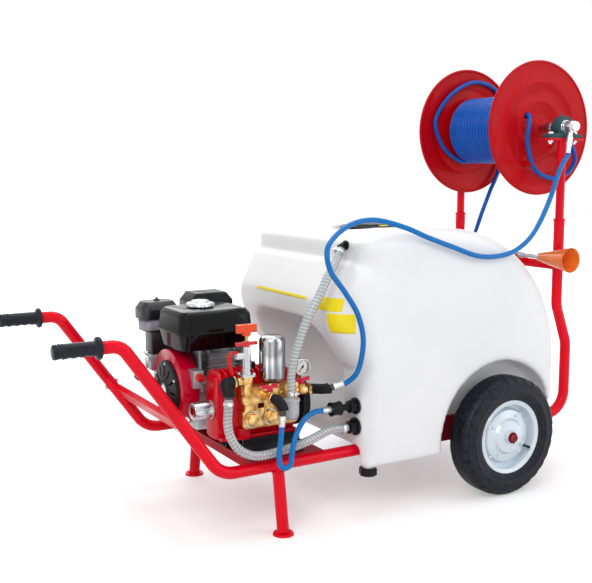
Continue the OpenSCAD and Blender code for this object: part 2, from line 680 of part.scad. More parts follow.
swivel_y = rail_rear_y + 20;
nose_r = 8;
crank_y0 = 284;
module reel_shaft() color("#b9bdc2") {
  bar_y(-swivel_y, crank_y0 + 12, reel_x, reel_z, shaft_r);
  bar_y(-swivel_y - 24, -swivel_y + 1, reel_x, reel_z, nose_r);
  // side outlet for the hose
  difference() {
    bar_y(-210, -180, reel_x, reel_z, shaft_r + 6);
    bar_y(-211, -179, reel_x, reel_z, shaft_r - 1);
  }
  bar([reel_x, -195, reel_z], inner_hose_end, 8);
  // crank arm and the pin of its knob
  translate([reel_x, crank_y0, reel_z]) rotate([-90, 0, 0]) linear_extrude(10) difference() {
    union() {
      circle(r = 24, $fn = 64);
      translate([crank_len, 0]) circle(r = 14, $fn = 64);
      polygon([[0, -17], [crank_len, -12], [crank_len, 12], [0, 17]]);
    }
    circle(r = shaft_r - 1, $fn = 64);
  }
  bar_y(crank_y0 + 5, 397, reel_x + crank_len, reel_z, 6);
  bar_y(397, 400, reel_x + crank_len, reel_z, 10);
}
module crank_knob() color("#1c1c1e") translate([reel_x + crank_len, crank_y0 + 10 + gap,
  reel_z]) rotate([-90, 0, 0]) rotate_extrude($fn = 64) polygon([[6 + fit, 0], [11, 0],
    [14, 6], [15, 40], [14, 92], [11, 397 - crank_y0 - 10 - 2 * gap],
    [6 + fit, 397 - crank_y0 - 10 - 2 * gap]]);

disc_r = disc_d / 2;
disc_t = 1.5;
// Half profile of a pressed disc: radius, height of its middle
disc_ribs = [[29, 0], [disc_r * 0.36, 0], [disc_r * 0.39, 5], [disc_r * 0.42, 0],
  [disc_r * 0.64, 0], [disc_r * 0.68, 5], [disc_r * 0.72, 0], [disc_r - 8, 0]];
hose_hole = [-61, 40];
module reel_disc(y, face) translate([reel_x, y, reel_z]) rotate([face * 90, 0, 0])
  rotate_extrude($fn = 128) {
    polygon(concat([for (p = disc_ribs) [p[0], p[1] - disc_t]],
      [for (i = [len(disc_ribs) - 1:-1:0]) [disc_ribs[i][0], disc_ribs[i][1] + disc_t]]));
    translate([disc_r - 5, 0]) circle(r = 5, $fn = 24);
    polygon([[shaft_r + 0.02, -disc_t], [30, -disc_t], [30, disc_t], [24, 10],
      [shaft_r + 0.02, 10]]);
  }
inner_clip = [reel_x - 50, -165, reel_z - 114];
module reel_discs() color(red) {
  difference() {
    reel_disc(disc_near_y, 1);
    bar_y(disc_near_y - 20, disc_near_y + 20, reel_x + hose_hole.x, reel_z + hose_hole.y, 11);
  }
  reel_disc(disc_far_y, -1);
  // saddle under the hose
  difference() {
    box([inner_clip.x - 9, inner_clip.y - 4, inner_clip.z - 8], [inner_clip.x + 9,
      disc_near_y, inner_clip.z + 8]);
    bar(inner_route[4], inner_route[5], reel_hose_d / 2 + 0.4);
    bar(inner_route[3], inner_route[4], reel_hose_d / 2 + 0.4);
  }
}

loop_rings = 20;
wind_r = (drum_r + reel_hose_d / 2 + 0.3) / cos(180 / loop_rings);
wind_end_y = 188;
wind_start_y = wind_end_y - turns * turn_pitch;
// One unbroken tube round the drum, with a straight lead at each end
winding = concat([[reel_x + reel_hose_d, wind_start_y, reel_z - wind_r]],
  [for (k = [0:turns * loop_rings]) let (a = 360 * k / loop_rings)
    [reel_x - wind_r * sin(a), wind_start_y + turn_pitch * k / loop_rings,
      reel_z - wind_r * cos(a)]],
  [[reel_x - reel_hose_d, wind_end_y, reel_z - wind_r]]);
winding_rings = rings(winding, [for (p = winding) reel_hose_d / 2], 6);
self_gap = min([for (i = [1:len(winding) - 2 - loop_rings])
  for (p = winding_rings[i]) for (q = winding_rings[i + loop_rings]) norm(p - q)]);
echo(str("least gap between two turns of the winding: ", self_gap, " mm"));
module hose_winding() color("#1d4ea8") hose(winding, reel_hose_d, 6);

module reel_drum() color(red) {
  difference() {
    bar_y(disc_near_y + disc_t, disc_far_y - disc_t, reel_x, reel_z, drum_r);
    bar_y(disc_near_y - 5, disc_far_y + 5, reel_x, reel_z, drum_r - 3);
  }
  // outlet of the drum, which holds the start of the hose
  translate([reel_x + 28, wind_start_y, reel_z - wind_r - 7]) cylinder(h = 42, r = 6.6,
    $fn = 48);
  bar_x(reel_x + reel_hose_d, reel_x + 30, wind_start_y, reel_z - wind_r, 6.9);
  bent_bar([[reel_x + 28, wind_start_y, reel_z - wind_r + 30], [reel_x + hose_hole.x,
    wind_start_y, reel_z + hose_hole.y], [reel_x + hose_hole.x, inner_start_y,
    reel_z + hose_hole.y]], [0, 8, 0], 6.9);
}
inner_start_y = disc_near_y + 8;
inner_hose_end = [reel_x + 30, -195, reel_z - 15];
inner_route = [[reel_x + hose_hole.x, inner_start_y, reel_z + hose_hole.y],
  [reel_x + hose_hole.x, disc_near_y - 12, reel_z + hose_hole.y],
  [reel_x - 68, -165, reel_z + 12],
  [reel_x - 74, -166, reel_z - 40], [reel_x - 62, -166, reel_z - 90],
  [reel_x - 35, -165, reel_z - 136], [reel_x + 10, -165, reel_z - 158],
  [reel_x + 56, -166, reel_z - 165], [reel_x + 100, -178, reel_z - 146],
  [reel_x + 123, -185, reel_z - 110], [reel_x + 112, -188, reel_z - 72],
  inner_hose_end + [48, 0, -24], inner_hose_end];
module reel_inner_hose() color("#1d4ea8") hose(inner_route, reel_hose_d, 10);

swivel_len = 39;
swivel_dir = unit([-0.14, 0, -1]);
pressure_end = [reel_x, -swivel_y - 16, reel_z] + swivel_dir * 58;
module swivel() color("#c7ccd2") difference() {
  union() {
    bar_y(-swivel_y - swivel_len, -swivel_y - gap, reel_x, reel_z, 15);
    translate([reel_x, -swivel_y - 6, reel_z]) rotate([90, 0, 0]) hex(20, 20);
    bar([reel_x, -swivel_y - 16, reel_z], [reel_x, -swivel_y - 16, reel_z]
      + swivel_dir * 36, 8);
    bar([reel_x, -swivel_y - 16, reel_z] + swivel_dir * 32, pressure_end, 10.5);
  }
  bar_y(-swivel_y - 25, -swivel_y + 1, reel_x, reel_z, nose_r + fit);
}

// ---------- spray gun ----------

gun_inlet = [lance_x, 300, 600];
trigger_at = [lance_x, 234, lance_z - 25];
module spray_gun() color("#2a2a2d") {
  bar_y(-215, 190, lance_x, lance_z, 6.5);
  bar_y(-140, 165, lance_x, lance_z, sleeve_r);
  // shroud round the nozzle
  translate([lance_x, -204, lance_z]) rotate([90, 0, 0]) rotate_extrude($fn = 64)
    polygon([[0, 0], [11, 0], [13, 3], [17, 24], [24, 60], [33, 105], [40, 142],
      [38, 142], [31, 106], [22, 62], [14, 26], [9, 12], [0, 12]]);
  bar_y(-236, -214, lance_x, lance_z, 8);
  // body, grip, guard and the cheeks that carry the trigger
  bar_y(165, 335, lance_x, lance_z, 14);
  along_x(lance_x - 13, lance_x + 13) polygon([[294, lance_z], [330, lance_z],
    [322, gun_inlet.z + 20], [316, gun_inlet.z + 14], [286, gun_inlet.z + 14],
    [284, gun_inlet.z + 22]]);
  along_x(lance_x - 4, lance_x + 4) difference() {
    polygon([[208, lance_z], [300, lance_z], [300, gun_inlet.z + 20],
      [290, gun_inlet.z + 20], [214, lance_z - 56]]);
    polygon([[220, lance_z - 8], [292, lance_z - 8], [286, gun_inlet.z + 32],
      [222, lance_z - 50]]);
  }
  for (s = [-1, 1]) translate([s * 6.4, 0, 0]) along_x(lance_x - 1.5, lance_x + 1.5)
    polygon(rounded(trigger_at.y - 8, trigger_at.z - 6, trigger_at.y + 8, lance_z - 5, 3));
  bar_x(lance_x - 7, lance_x + 7, trigger_at.y, trigger_at.z, 2.5);
  bar(gun_inlet, gun_inlet + [0, 0, 20], 9);
}
module gun_trigger() color("#1a1a1c") difference() {
  along_x(lance_x - 4.6, lance_x + 4.6) translate([trigger_at.y, trigger_at.z]) polygon([
    [-6, 6], [6, 7], [20, -4], [32, -22], [30, -32], [24, -32], [12, -16], [-6, -6]]);
  bar_x(lance_x - 9, lance_x + 9, trigger_at.y, trigger_at.z, 2.5 + fit);
}

// ---------- engine ----------

module engine_base() color("#17181a") difference() {
  along_x(-419, -240) polygon([[-250, plate_top], [-221, plate_top],
    [-221, base_top - base_wall], [-119, base_top - base_wall], [-119, plate_top],
    [-76, plate_top], [-76, base_top - base_wall], [116, base_top - base_wall],
    [116, plate_top], [148, plate_top], [148, plate_top + base_wall],
    [120, plate_top + base_wall], [120, base_top], [-80, base_top],
    [-80, plate_top + base_wall], [-115, plate_top + base_wall], [-115, base_top],
    [-225, base_top], [-225, plate_top + base_wall], [-250, plate_top + base_wall]]);
  for (p = mount_bolts) disc_z([p.x, p.y, 0], 5.2, 400);
}

fan_z = 376;
fan_front = -538;
block_x0 = -488;
block_x1 = -318;
crank_r = 10;
pulley_x0 = -235;
pulley_x1 = -214;
module fan_disc(x0, x1, r) intersection() {
  bar_x(x0, x1, crank_y, fan_z, r);
  box([x0 - 1, -200, base_top + 110 - r], [x1 + 1, 300, 600]);
}
module engine_block() color("#a7adb3") {
  difference() {
    union() {
      along_x(block_x0, block_x1) polygon(rounded(crank_y - 98, base_top, crank_y + 97,
        405, 12));
      bar_x(block_x1 - 1, -252, crank_y, crank_z, 34);
      // cylinder and head with fins
      box([-428, -32, 400], [-344, 87, 470]);
      for (k = [0:5]) along_y(-40, 95) polygon(rounded(-436, 409 + 11 * k, -336,
        413.5 + 11 * k, 2));
      // brackets of the fuel tank
      box([-474, -60, 400], [-466, 40, 497]);
      box([-474, -60, 497], [-440, 40, 500]);
      box([-334, -60, 400], [-326, 40, 500]);
      // intake and carburettor
      box([-484, 78, 412], [-420, 128, 440]);
      along_y(127, 176) polygon(rounded(-545, 402, -462, 450, 6));
      bar_x(-549, -540, 140, 438, 3);
      bar_x(-549, -540, 162, 414, 3);
      // switch box
      box([-512, -112, 392], [-486, -70, 442]);
      box([block_x0, -112, 380], [block_x0 + 5, -60, 442]);
      bar_y(-124, -110, -498, 424, 4);
    }
    bar_x(-600, -200, crank_y, crank_z, crank_r + fit);
    bar_x(fan_front - 2, block_x0, crank_y, fan_z, fan_r + 0.1);
  }
}
module fan_housing() color(red) difference() {
  fan_disc(fan_front, block_x0, fan_r);
  fan_disc(fan_front + 3, block_x0 + 1, fan_r - 4);
  bar_x(fan_front - 1, fan_front + 5, crank_y, crank_z, 60);
}
recoil_r = 86;
grip_at = [-584, 112, 386];
pull_dir = unit([-0.83, 0.1, 0.55]);
pull_side = unit(cross([0, 0, 1], pull_dir));
module recoil_starter() color("#1b1c1f") {
  difference() {
    translate([fan_front, crank_y, crank_z]) rotate([0, -90, 0]) rotate_extrude($fn = 96)
      polygon([[0, 3.5], [recoil_r - 4, 3.5], [recoil_r - 4, 0], [recoil_r, 0],
        [recoil_r, 4], [recoil_r - 6, 9], [34, 12], [30, 15], [0, 15]]);
    for (a = [0:30:330]) translate([0, crank_y, crank_z]) rotate([a, 0, 0])
      box([fan_front - 20, -3.5, 40], [fan_front + 5, 3.5, 72]);
  }
  // guide of the starter rope
  difference() {
    bar([fan_front - 6, 78, 372], grip_at - pull_dir * 24, 8.9);
    bar_x(fan_front, 0, 78, 376, 30);
  }
  bar(grip_at - pull_dir * 30, grip_at - pull_dir * 8, 9);
}
module starter_grip() color("#141416") frame_at(grip_at - pull_dir * 7.5, pull_side,
  cross(pull_dir, pull_side), pull_dir) {
    cylinder(h = 14, r1 = 7, r2 = 9, $fn = 32);
    translate([0, 0, 17]) rotate([0, 90, 0]) translate([0, 0, -18])
      cylinder(h = 36, r = 8, $fn = 32);
  }

fuel_x = -556;
fuel_y = -130;
fuel_z = 500;
fuel_top = 612;
fuel_neck = [-462, -48];
module fuel_tank() color("#101114") difference() {
  union() {
    hull() {
      translate([fuel_x, fuel_y, fuel_z + 48]) linear_extrude(1)
        polygon(rounded(0, 0, fuel_len, fuel_depth, 26));
      translate([fuel_x + 4, fuel_y + 4, fuel_z + 94]) linear_extrude(1)
        polygon(rounded(0, 0, fuel_len - 8, fuel_depth - 8, 26));
      translate([fuel_x + 14, fuel_y + 14, fuel_z + 107]) linear_extrude(1)
        polygon(rounded(0, 0, fuel_len - 28, fuel_depth - 28, 22));
      translate([fuel_x + 34, fuel_y + 34, fuel_top - 1]) linear_extrude(1)
        polygon(rounded(0, 0, fuel_len - 68, fuel_depth - 68, 20));
    }
    hull() {
      translate([fuel_x + 2, fuel_y + 2, fuel_z + 48]) linear_extrude(1)
        polygon(rounded(0, 0, fuel_len - 4, fuel_depth - 4, 26));
      translate([fuel_x + 12, fuel_y + 12, fuel_z]) linear_extrude(1)
        polygon(rounded(0, 0, fuel_len - 24, fuel_depth - 24, 22));
    }
    translate([fuel_x - 3, fuel_y - 3, fuel_z + 46]) linear_extrude(4)
      polygon(rounded(0, 0, fuel_len + 6, fuel_depth + 6, 28));
    disc_z([fuel_neck.x, fuel_neck.y, fuel_top - 4], 30, 10);
  }
  disc_z([fuel_neck.x, fuel_neck.y, fuel_top - 60], 26, 90);
}
module fuel_cap() color("#e8eaec") translate([fuel_neck.x, fuel_neck.y, 0])
  rotate_extrude($fn = 96) polygon([[0, fuel_top + 6 + gap], [30 + fit * 2,
    fuel_top + 6 + gap], [30 + fit * 2, fuel_top + gap], [37, fuel_top + gap],
    [40, fuel_top + 3], [40, fuel_top + 9], [37, fuel_top + 13], [27, fuel_top + 14],
    [24, fuel_top + 19], [0, fuel_top + 20]]);

module air_cleaner() color("#1b1c1f") {
  along_y(128, 182) polygon(rounded(-540, 450, -470, 523, 8));
  hull() {
    translate([0, 0, 521]) linear_extrude(4) polygon(rounded(-560, 122, -462, 198, 20));
    translate([0, 0, 556]) linear_extrude(1) polygon(rounded(-562, 120, -456, 200, 22));
  }
  hull() {
    translate([0, 0, 557]) linear_extrude(30) polygon(rounded(-569, 116, -450, 204, 22));
    translate([0, 0, 606]) linear_extrude(2) polygon(rounded(-557, 130, -464, 190, 18));
  }
  disc_z([-510, 160, 600], 4, 18);
  translate([-510, 160, 0]) disc_z([0, 0, 607], 9, 6);
}
module muffler_guard() color("#131416") {
  difference() {
    along_y(120, 200) polygon([[-420, 500], [-420, 600], [-398, 625], [-298, 625],
      [-276, 600], [-276, 500]]);
    along_y(124, 196) polygon([[-416, 499], [-416, 598], [-396, 621], [-300, 621],
      [-280, 598], [-280, 499]]);
    for (x = [-410:13:-292]) box([x, 100, 520], [x + 6, 220, 585]);
  }
  // silencer inside, and the pipe from the head
  bar_x(-414, -282, 160, 548, 33);
  box([-420, 120, 500], [-276, 200, 504]);
  box([-404, 95, 426], [-372, 154, 456]);
  box([-404, 124, 450], [-372, 154, 504]);
  box([-360, 150, 504], [-330, 170, 530]);
}
module lever_plate(p, len, turn) translate([-547.6 - 3, p.x, p.y]) rotate([turn, 0, 0])
  rotate([90, 0, 90]) linear_extrude(3) difference() {
    union() {
      circle(r = 8, $fn = 32);
      polygon([[-5, 0], [5, 0], [4, len], [-4, len]]);
      translate([0, len]) circle(r = 6, $fn = 32);
    }
    circle(r = 3 + fit, $fn = 32);
  }
module choke_lever() color("#c9ccd1") lever_plate([140, 438], 34, -70);
module throttle_lever() color("#c9ccd1") lever_plate([162, 414], 40, -115);
module engine_switch() color("#e02020") difference() {
  bar_y(-126, -112 - gap, -498, 424, 11);
  bar_y(-130, -100, -498, 424, 4 + fit);
}
module v_pulley(y, z, r, hub) {
  difference() {
    bar_x(pulley_x0, pulley_x1, y, z, r + 4);
    difference() {
      bar_x(pulley_x0 + 5, pulley_x1 - 5, y, z, r + 9);
      bar_x(pulley_x0, pulley_x1, y, z, r - 6);
    }
    for (s = [-1, 1]) translate([s * 14, 0, 0]) difference() {
      bar_x(pulley_x0 - 2, pulley_x1 + 2, y, z, r - 14);
      bar_x(pulley_x0 - 3, pulley_x1 + 3, y, z, hub + 5);
    }
  }
  bar_x(pulley_x0 - 4, pulley_x1 + 3, y, z, hub + 8);
}
module engine_shaft() color("#b9bdc2") {
  bar_x(-534, pulley_x1 + 6, crank_y, crank_z, crank_r);
  bar_x(-530, -510, crank_y, crank_z, 74);
  v_pulley(crank_y, crank_z, engine_pulley_r, crank_r);
}

// ---------- pump ----------

pump_face = -213;
pump_x0 = -485;
pump_x1 = -246;
pump_r = 9;
module pump_crankcase() color(red) difference() {
  union() {
    along_x(pump_x0, pump_x1) polygon(rounded(pump_face + 8, base_top, pump_y + 38, 436, 24));
    along_x(-472, -262) polygon(rounded(pump_face, 292, pump_y + 38, 420, 6));
    for (x = [-478:17:-262]) along_x(x, x + 5) polygon(rounded(pump_face + 2,
      base_top + 20, pump_y + 44, 452, 26));
    box([-430, pump_face - 12, base_top - 30], [-398, pump_face + 10, 294]);
    box([pump_x0 + 6, pump_face - 4, base_top], [pump_x1, pump_y + 48, base_top + 9]);
    bar_x(pump_x0 - 58, pump_x0 + 2, pump_y, pump_z, 20);
  }
  bar_x(pump_x0 - 55, pump_x0 + 1, pump_y, pump_z, 17.5);
  bar_x(pump_x0 - 59, -200, pump_y, pump_z, pump_r + fit);
  box([-440, -225, 200], [-390, pump_face + 20, base_top]);
}
module pump_shaft() color("#26282b") {
  bar_x(pump_x0 - 30, pulley_x1 + 6, pump_y, pump_z, pump_r);
  v_pulley(pump_y, pump_z, pump_pulley_r, pump_r);
}

// Outline of a belt round both pulleys, at a distance d from their pitch lines
belt_span = [pump_y - crank_y, pump_z - crank_z];
belt_turn = atan2(belt_span.y, belt_span.x);
belt_lean = asin((pump_pulley_r - engine_pulley_r) / norm(belt_span));
function arc(c, r, a0, a1, n) = [for (k = [0:n]) let (a = a0 + (a1 - a0) * k / n)
  c + r * [cos(a), sin(a)]];
function belt_line(d) = concat(
  arc([pump_y, pump_z], pump_pulley_r + d, belt_turn - 90 - belt_lean,
    belt_turn + 90 + belt_lean, 40),
  arc([crank_y, crank_z], engine_pulley_r + d, belt_turn + 90 + belt_lean,
    belt_turn + 270 - belt_lean, 30));
module drive_belt() color("#202022") along_x(pulley_x0 + 5.4, pulley_x1 - 5.4) difference() {
  polygon(belt_line(3));
  polygon(belt_line(-5.6));
}

head_y0 = -250;
head_top = 412;
regulator_at = [-417, -245];
chamber_at = [-341, -250];
outlet_at = [-247, -250];
cock_at = [-368, -286];
module pump_manifold() color("#c9963c") {
  union() {
    along_y(head_y0 + 6, pump_face) polygon(rounded(-428, 296, -256, 350, 12));
    along_y(head_y0, pump_face) polygon(rounded(-432, 366, -256, head_top, 10));
    for (x = [-404, -344, -284]) {
      along_y(head_y0 + 4, pump_face) polygon(rounded(x - 20, 300, x + 20, 408, 8));
    }
    for (x = [-404, -344]) translate([x, head_y0 + 5, 324]) rotate([90, 0, 0]) {
      hex(17, 17);
      disc_z([0, 0, 0], 20, 9);
    }
    for (x = [-424, -374, -314, -264]) translate([x, head_y0 + 1, 389])
      rotate([90, 0, 0]) hex(7, 7);
    // outlet body with its cock
    bar_x(-258, outlet_at.x + 13, outlet_at.y, 387, 13);
    disc_z([outlet_at.x, outlet_at.y, 380], 11, 25);
    disc_z([outlet_at.x, outlet_at.y, 400], 4, 24);
    bent_bar([[-258, -217, 400], [gauge_at.x, -217, 400], [gauge_at.x, -217, gauge_at.z],
      [gauge_at.x, gauge_at.y + 13, gauge_at.z]], [0, 6, 6, 0], 4.5);
    // by-pass body with its cock
    bar_y(cock_at.y - 13, head_y0 + 2, cock_at.x, 389, 12);
    disc_z([cock_at.x, cock_at.y, 382], 11, 23);
    disc_z([cock_at.x, cock_at.y, 400], 4, 24);
    disc_z([regulator_at.x, regulator_at.y, head_top - 16], 18, 48);
    translate([-446, regulator_at.y, 430]) rotate([0, 90, 0]) hex(11, 16);
    disc_z([chamber_at.x, chamber_at.y, head_top - 4], 14, 12);
  }
}
module air_chamber() color("#d5d8dc") translate([chamber_at.x, chamber_at.y, head_top + 8])
  rotate_extrude($fn = 96) polygon([[0, 0], [13, 0], [15, 5], [chamber_r - 6, 8],
    [chamber_r, 16], [chamber_r, chamber_h - 12], [chamber_r - 4, chamber_h - 4],
    [chamber_r - 12, chamber_h], [0, chamber_h]]);
knob_z = 556;
lever_at = [regulator_at.x - 24, regulator_at.y, 502];
module pressure_regulator() color("#cfd2d6") translate([regulator_at.x, regulator_at.y, 0]) {
  disc_z([0, 0, head_top + 32], 19, 5);
  for (a = [45:90:315]) rotate(a) translate([21, 0, head_top + 32]) cylinder(h = 10, r = 4,
    $fn = 24);
  for (a = [45:90:315]) rotate(a) box([10, -6, head_top + 32], [22, 6, head_top + 36.5]);
  disc_z([0, 0, head_top + 36], 13, 8);
  disc_z([0, 0, head_top + 42], 11, 72);
  // red wing nut and brass stem
  disc_z([0, 0, 526], 9, 14);
  for (s = [-1, 1]) box([s * 18 - 14, -4, 529], [s * 18 + 14, 4, 538]);
  disc_z([0, 0, 538], 4.5, 40);
  // clevis of the lever
  for (s = [-1, 1]) box([-32, s * 5.5 - 1.5, lever_at.z - 8], [-8, s * 5.5 + 1.5,
    lever_at.z + 8]);
  bar_y(-7, 7, -24, lever_at.z, 3);
}
module regulator_knob() color("#f05a28") translate([regulator_at.x, regulator_at.y, knob_z])
  difference() {
    union() {
      disc_z([0, 0, 0], 12, 24);
      hull() for (s = [-1, 1]) translate([s * 22, 0, 8]) cylinder(h = 22, r = 9, $fn = 32);
    }
    disc_z([0, 0, -1], 4.5 + fit, 40);
    disc_z([0, 0, 23], 5, 40);
  }
module regulator_lever() color("#e0352b") difference() {
  along_y(lever_at.y - 3.6, lever_at.y + 3.6) translate([lever_at.x, lever_at.z])
    difference() {
      polygon([[-6, -6], [4, -6], [4, 5], [-6, 15], [-22, 12], [-34, 2], [-30, -30],
        [-22, -50], [-14, -48], [-21, -30], [-24, -2], [-19, 7], [-8, 7]]);
      circle(r = 3 + fit, $fn = 32);
    }
}
gauge_at = [-241, -238, 426 + gauge_r];
module pressure_gauge() color("#2c2e31") translate([gauge_at.x, gauge_at.y - 9, gauge_at.z])
  rotate([-90, 0, 0]) difference() {
    union() {
      rotate_extrude($fn = 96) polygon([[0, 4], [gauge_r - 3, 4], [gauge_r - 3, 0],
        [gauge_r, 0], [gauge_r + 0.5, 3], [gauge_r - 1, 20], [gauge_r - 4, 22], [0, 22]]);
      cylinder(h = 6, r = 1, $fn = 24);
    }
    translate([0, 0, 3.4]) cylinder(h = 0.3, r = 0.5, $fn = 24);
  }
module gauge_needle() color("#101010") translate([gauge_at.x, gauge_at.y - 9, gauge_at.z])
  rotate([-90, 0, 0]) rotate([0, 0, 40]) translate([0, 0, 1.6]) linear_extrude(1.2)
    difference() {
      union() {
        circle(r = 3.2, $fn = 32);
        polygon([[-1.6, -7], [1.6, -7], [0.5, gauge_r - 7], [-0.5, gauge_r - 7]]);
      }
      circle(r = 1 + fit, $fn = 24);
    }
module wing_handle(x, y) translate([x, y, 405.4]) difference() {
  union() {
    cylinder(h = 17, r = 8, $fn = 48);
    for (s = [-1, 1]) translate([s * 13, 0, 8]) {
      translate([-6, -3.5, 0]) cube([12, 7, 9]);
      translate([s * 6, 0, 0]) cylinder(h = 10, r = 5.5, $fn = 32);
    }
  }
  translate([0, 0, -1]) cylinder(h = 30, r = 4 + fit, $fn = 48);
}
module agitator_cock() color("#e8244a") wing_handle(cock_at.x, cock_at.y);
module outlet_cock() color("#e8244a") wing_handle(outlet_at.x, outlet_at.y);

// ---------- hoses ----------

suction_start = [-482, -266, 392];
return_start = [-295, -275, 376];
agitator_start = [-344, -312, 336];
pressure_start = [-170, -301, 398];
suction_dir = unit([-0.12, -0.14, -1]);
agitator_dir = unit([-0.14, -0.1, -1]);
pressure_dir = unit([0.86, -0.42, 0.3]);
cup = [-295, -275];
elbow_r = 10.5;
module hose_fittings() color("#1b1c1f") {
  bent_bar([[-446, regulator_at.y, 430], [-480, regulator_at.y, 430],
    suction_start - 14 * suction_dir], [0, 16, 0], elbow_r + 2);
  bar(suction_start - 17 * suction_dir, suction_start, clear_hose_d / 2 - 1);
  bent_bar([[cock_at.x, cock_at.y - 13, 389], [cock_at.x, cock_at.y - 29, 389],
    agitator_start - 26 * agitator_dir], [0, 12, 0], elbow_r);
  bar(agitator_start - 29 * agitator_dir, agitator_start, blue_hose_d / 2 + 1.5);
  bent_bar([[outlet_at.x + 13, outlet_at.y, 387], [outlet_at.x + 30, outlet_at.y, 387],
    pressure_start - 20 * pressure_dir], [0, 14, 0], elbow_r);
  bar(pressure_start - 23 * pressure_dir, pressure_start, blue_hose_d / 2 + 1.5);
  // strainer cup under the return hose
  translate([cup.x, cup.y, 0]) rotate_extrude($fn = 64) polygon([[0, 316], [15, 316],
    [20, 322], [22, 332], [22, 366], [24, 367], [24, 373], [clear_hose_d / 2, 374],
    [clear_hose_d / 2, return_start.z], [0, return_start.z]]);
  bar_y(cup.y, head_y0 + 4, cup.x, 345, 9);
}

// A free hose leaves both of its fittings straight
function lead(a, da, d) = [a, a + 1.2 * d * da, a + 2.4 * d * da];
function lead_in(b, db, d) = [b + 2.4 * d * db, b + 1.2 * d * db, b];
module pressure_hose() color("#1f86c6") hose(curve(concat(
  lead(pressure_start, pressure_dir, blue_hose_d), [[-122, -345, 446], [-117, -362, 530],
  [-141, -370, 607], [-184, -370, 672],
  [-225, -365, 728], [-232, -356, 780], [-200, -337, 815], [-130, -318, 849],
  [-46, -312, 858], [40, -333, 836], [110, -350, 806], [200, -354, 775],
  [300, -352, 744], [400, -346, 742], [480, -336, 764], [550, -324, 812],
  [622, -306, 900], [682, -289, 1000]], lead_in(pressure_end, swivel_dir, blue_hose_d)), 2),
  blue_hose_d);
module suction_hose() color("#cfdbe2") ribbed_hose(concat(
  lead(suction_start, suction_dir, clear_hose_d), [[-484, -281, 292],
  [-460, -289, 255], [-410, -292, 233], [-330, -292, 237], [-250, -290, 250]],
  lead_in(suction_end, [-1, 0, 0], clear_hose_d)), clear_hose_d, 3, 52);
module return_hose() color("#cfdbe2") ribbed_hose(concat(
  lead(return_start, [0, 0, 1], clear_hose_d), [[-286, -279, 492], [-266, -285, 556],
  [-245, -290, 606], [-208, -286, 662], [-176, -272, 704]],
  lead_in(return_end, return_dir, clear_hose_d)), clear_hose_d, 3, 46);
module agitator_hose() color("#1f7fc8") hose(concat([agitator_start,
  agitator_start + 20 * agitator_dir, [-352, -317, 276], [-358, -319, 240],
  [-358, -321, 215], [-355, -322, 205], [-348, -322, 198], [-339, -322, 196], [-330, -322, 199],
  [-323, -322, 207], [-319, -320, 232], [-304, -313, 276],
  [-272, -302, 314], [-232, -290, 329]], [[agitator_end.x - 22, agitator_end.y,
  agitator_end.z], agitator_end]), blue_hose_d);
module gun_hose() color("#1d4ea8") hose(curve(concat(
  lead([reel_x - reel_hose_d, wind_end_y, reel_z - wind_r], [-1, 0, 0], reel_hose_d),
  [[640, 196, 1044], [598, 203, 1088], [571, 204, 1168],
  [637, 204, 1257], [741, 204, 1307], [846, 204, 1283], [893, 202, 1195], [888, 198, 1095],
  [856, 190, 986], [811, 180, 915], [778, 182, 840], [768, 206, 765], [780, 262, 690],
  [800, 290, 640], [806, 300, 580], [786, 302, 520], [745, 303, 492], [704, 302, 520]],
  lead_in(gun_inlet, [0, 0, -1], reel_hose_d)), 2), reel_hose_d);

side_tube_left();
side_tube_right();
cross_members();
engine_plate();
engine_base();
legs();
handles();
grips();
fasteners();
axle();
tyre_left();
tyre_right();
rim_left();
rim_right();
tank();
tank_lid();
strainer_basket();
drain_cap();
tank_fittings();
reel_posts();
pillow_blocks();
reel_shaft();
reel_discs();
reel_drum();
hose_winding();
reel_inner_hose();
swivel();
crank_knob();
spray_gun();
gun_trigger();
engine_block();
fan_housing();
recoil_starter();
starter_grip();
fuel_tank();
fuel_cap();
air_cleaner();
muffler_guard();
choke_lever();
throttle_lever();
engine_switch();
engine_shaft();
pump_crankcase();
pump_manifold();
pump_shaft();
drive_belt();
air_chamber();
pressure_regulator();
regulator_knob();
regulator_lever();
pressure_gauge();
gauge_needle();
agitator_cock();
outlet_cock();
hose_fittings();
pressure_hose();
suction_hose();
return_hose();
agitator_hose();
gun_hose();
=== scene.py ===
"""Wheeled sprayer cart: barrow frame, tank, engine-driven plunger pump, hose reel and lance."""

import math

import bmesh
import bpy
from mathutils import Matrix, Vector


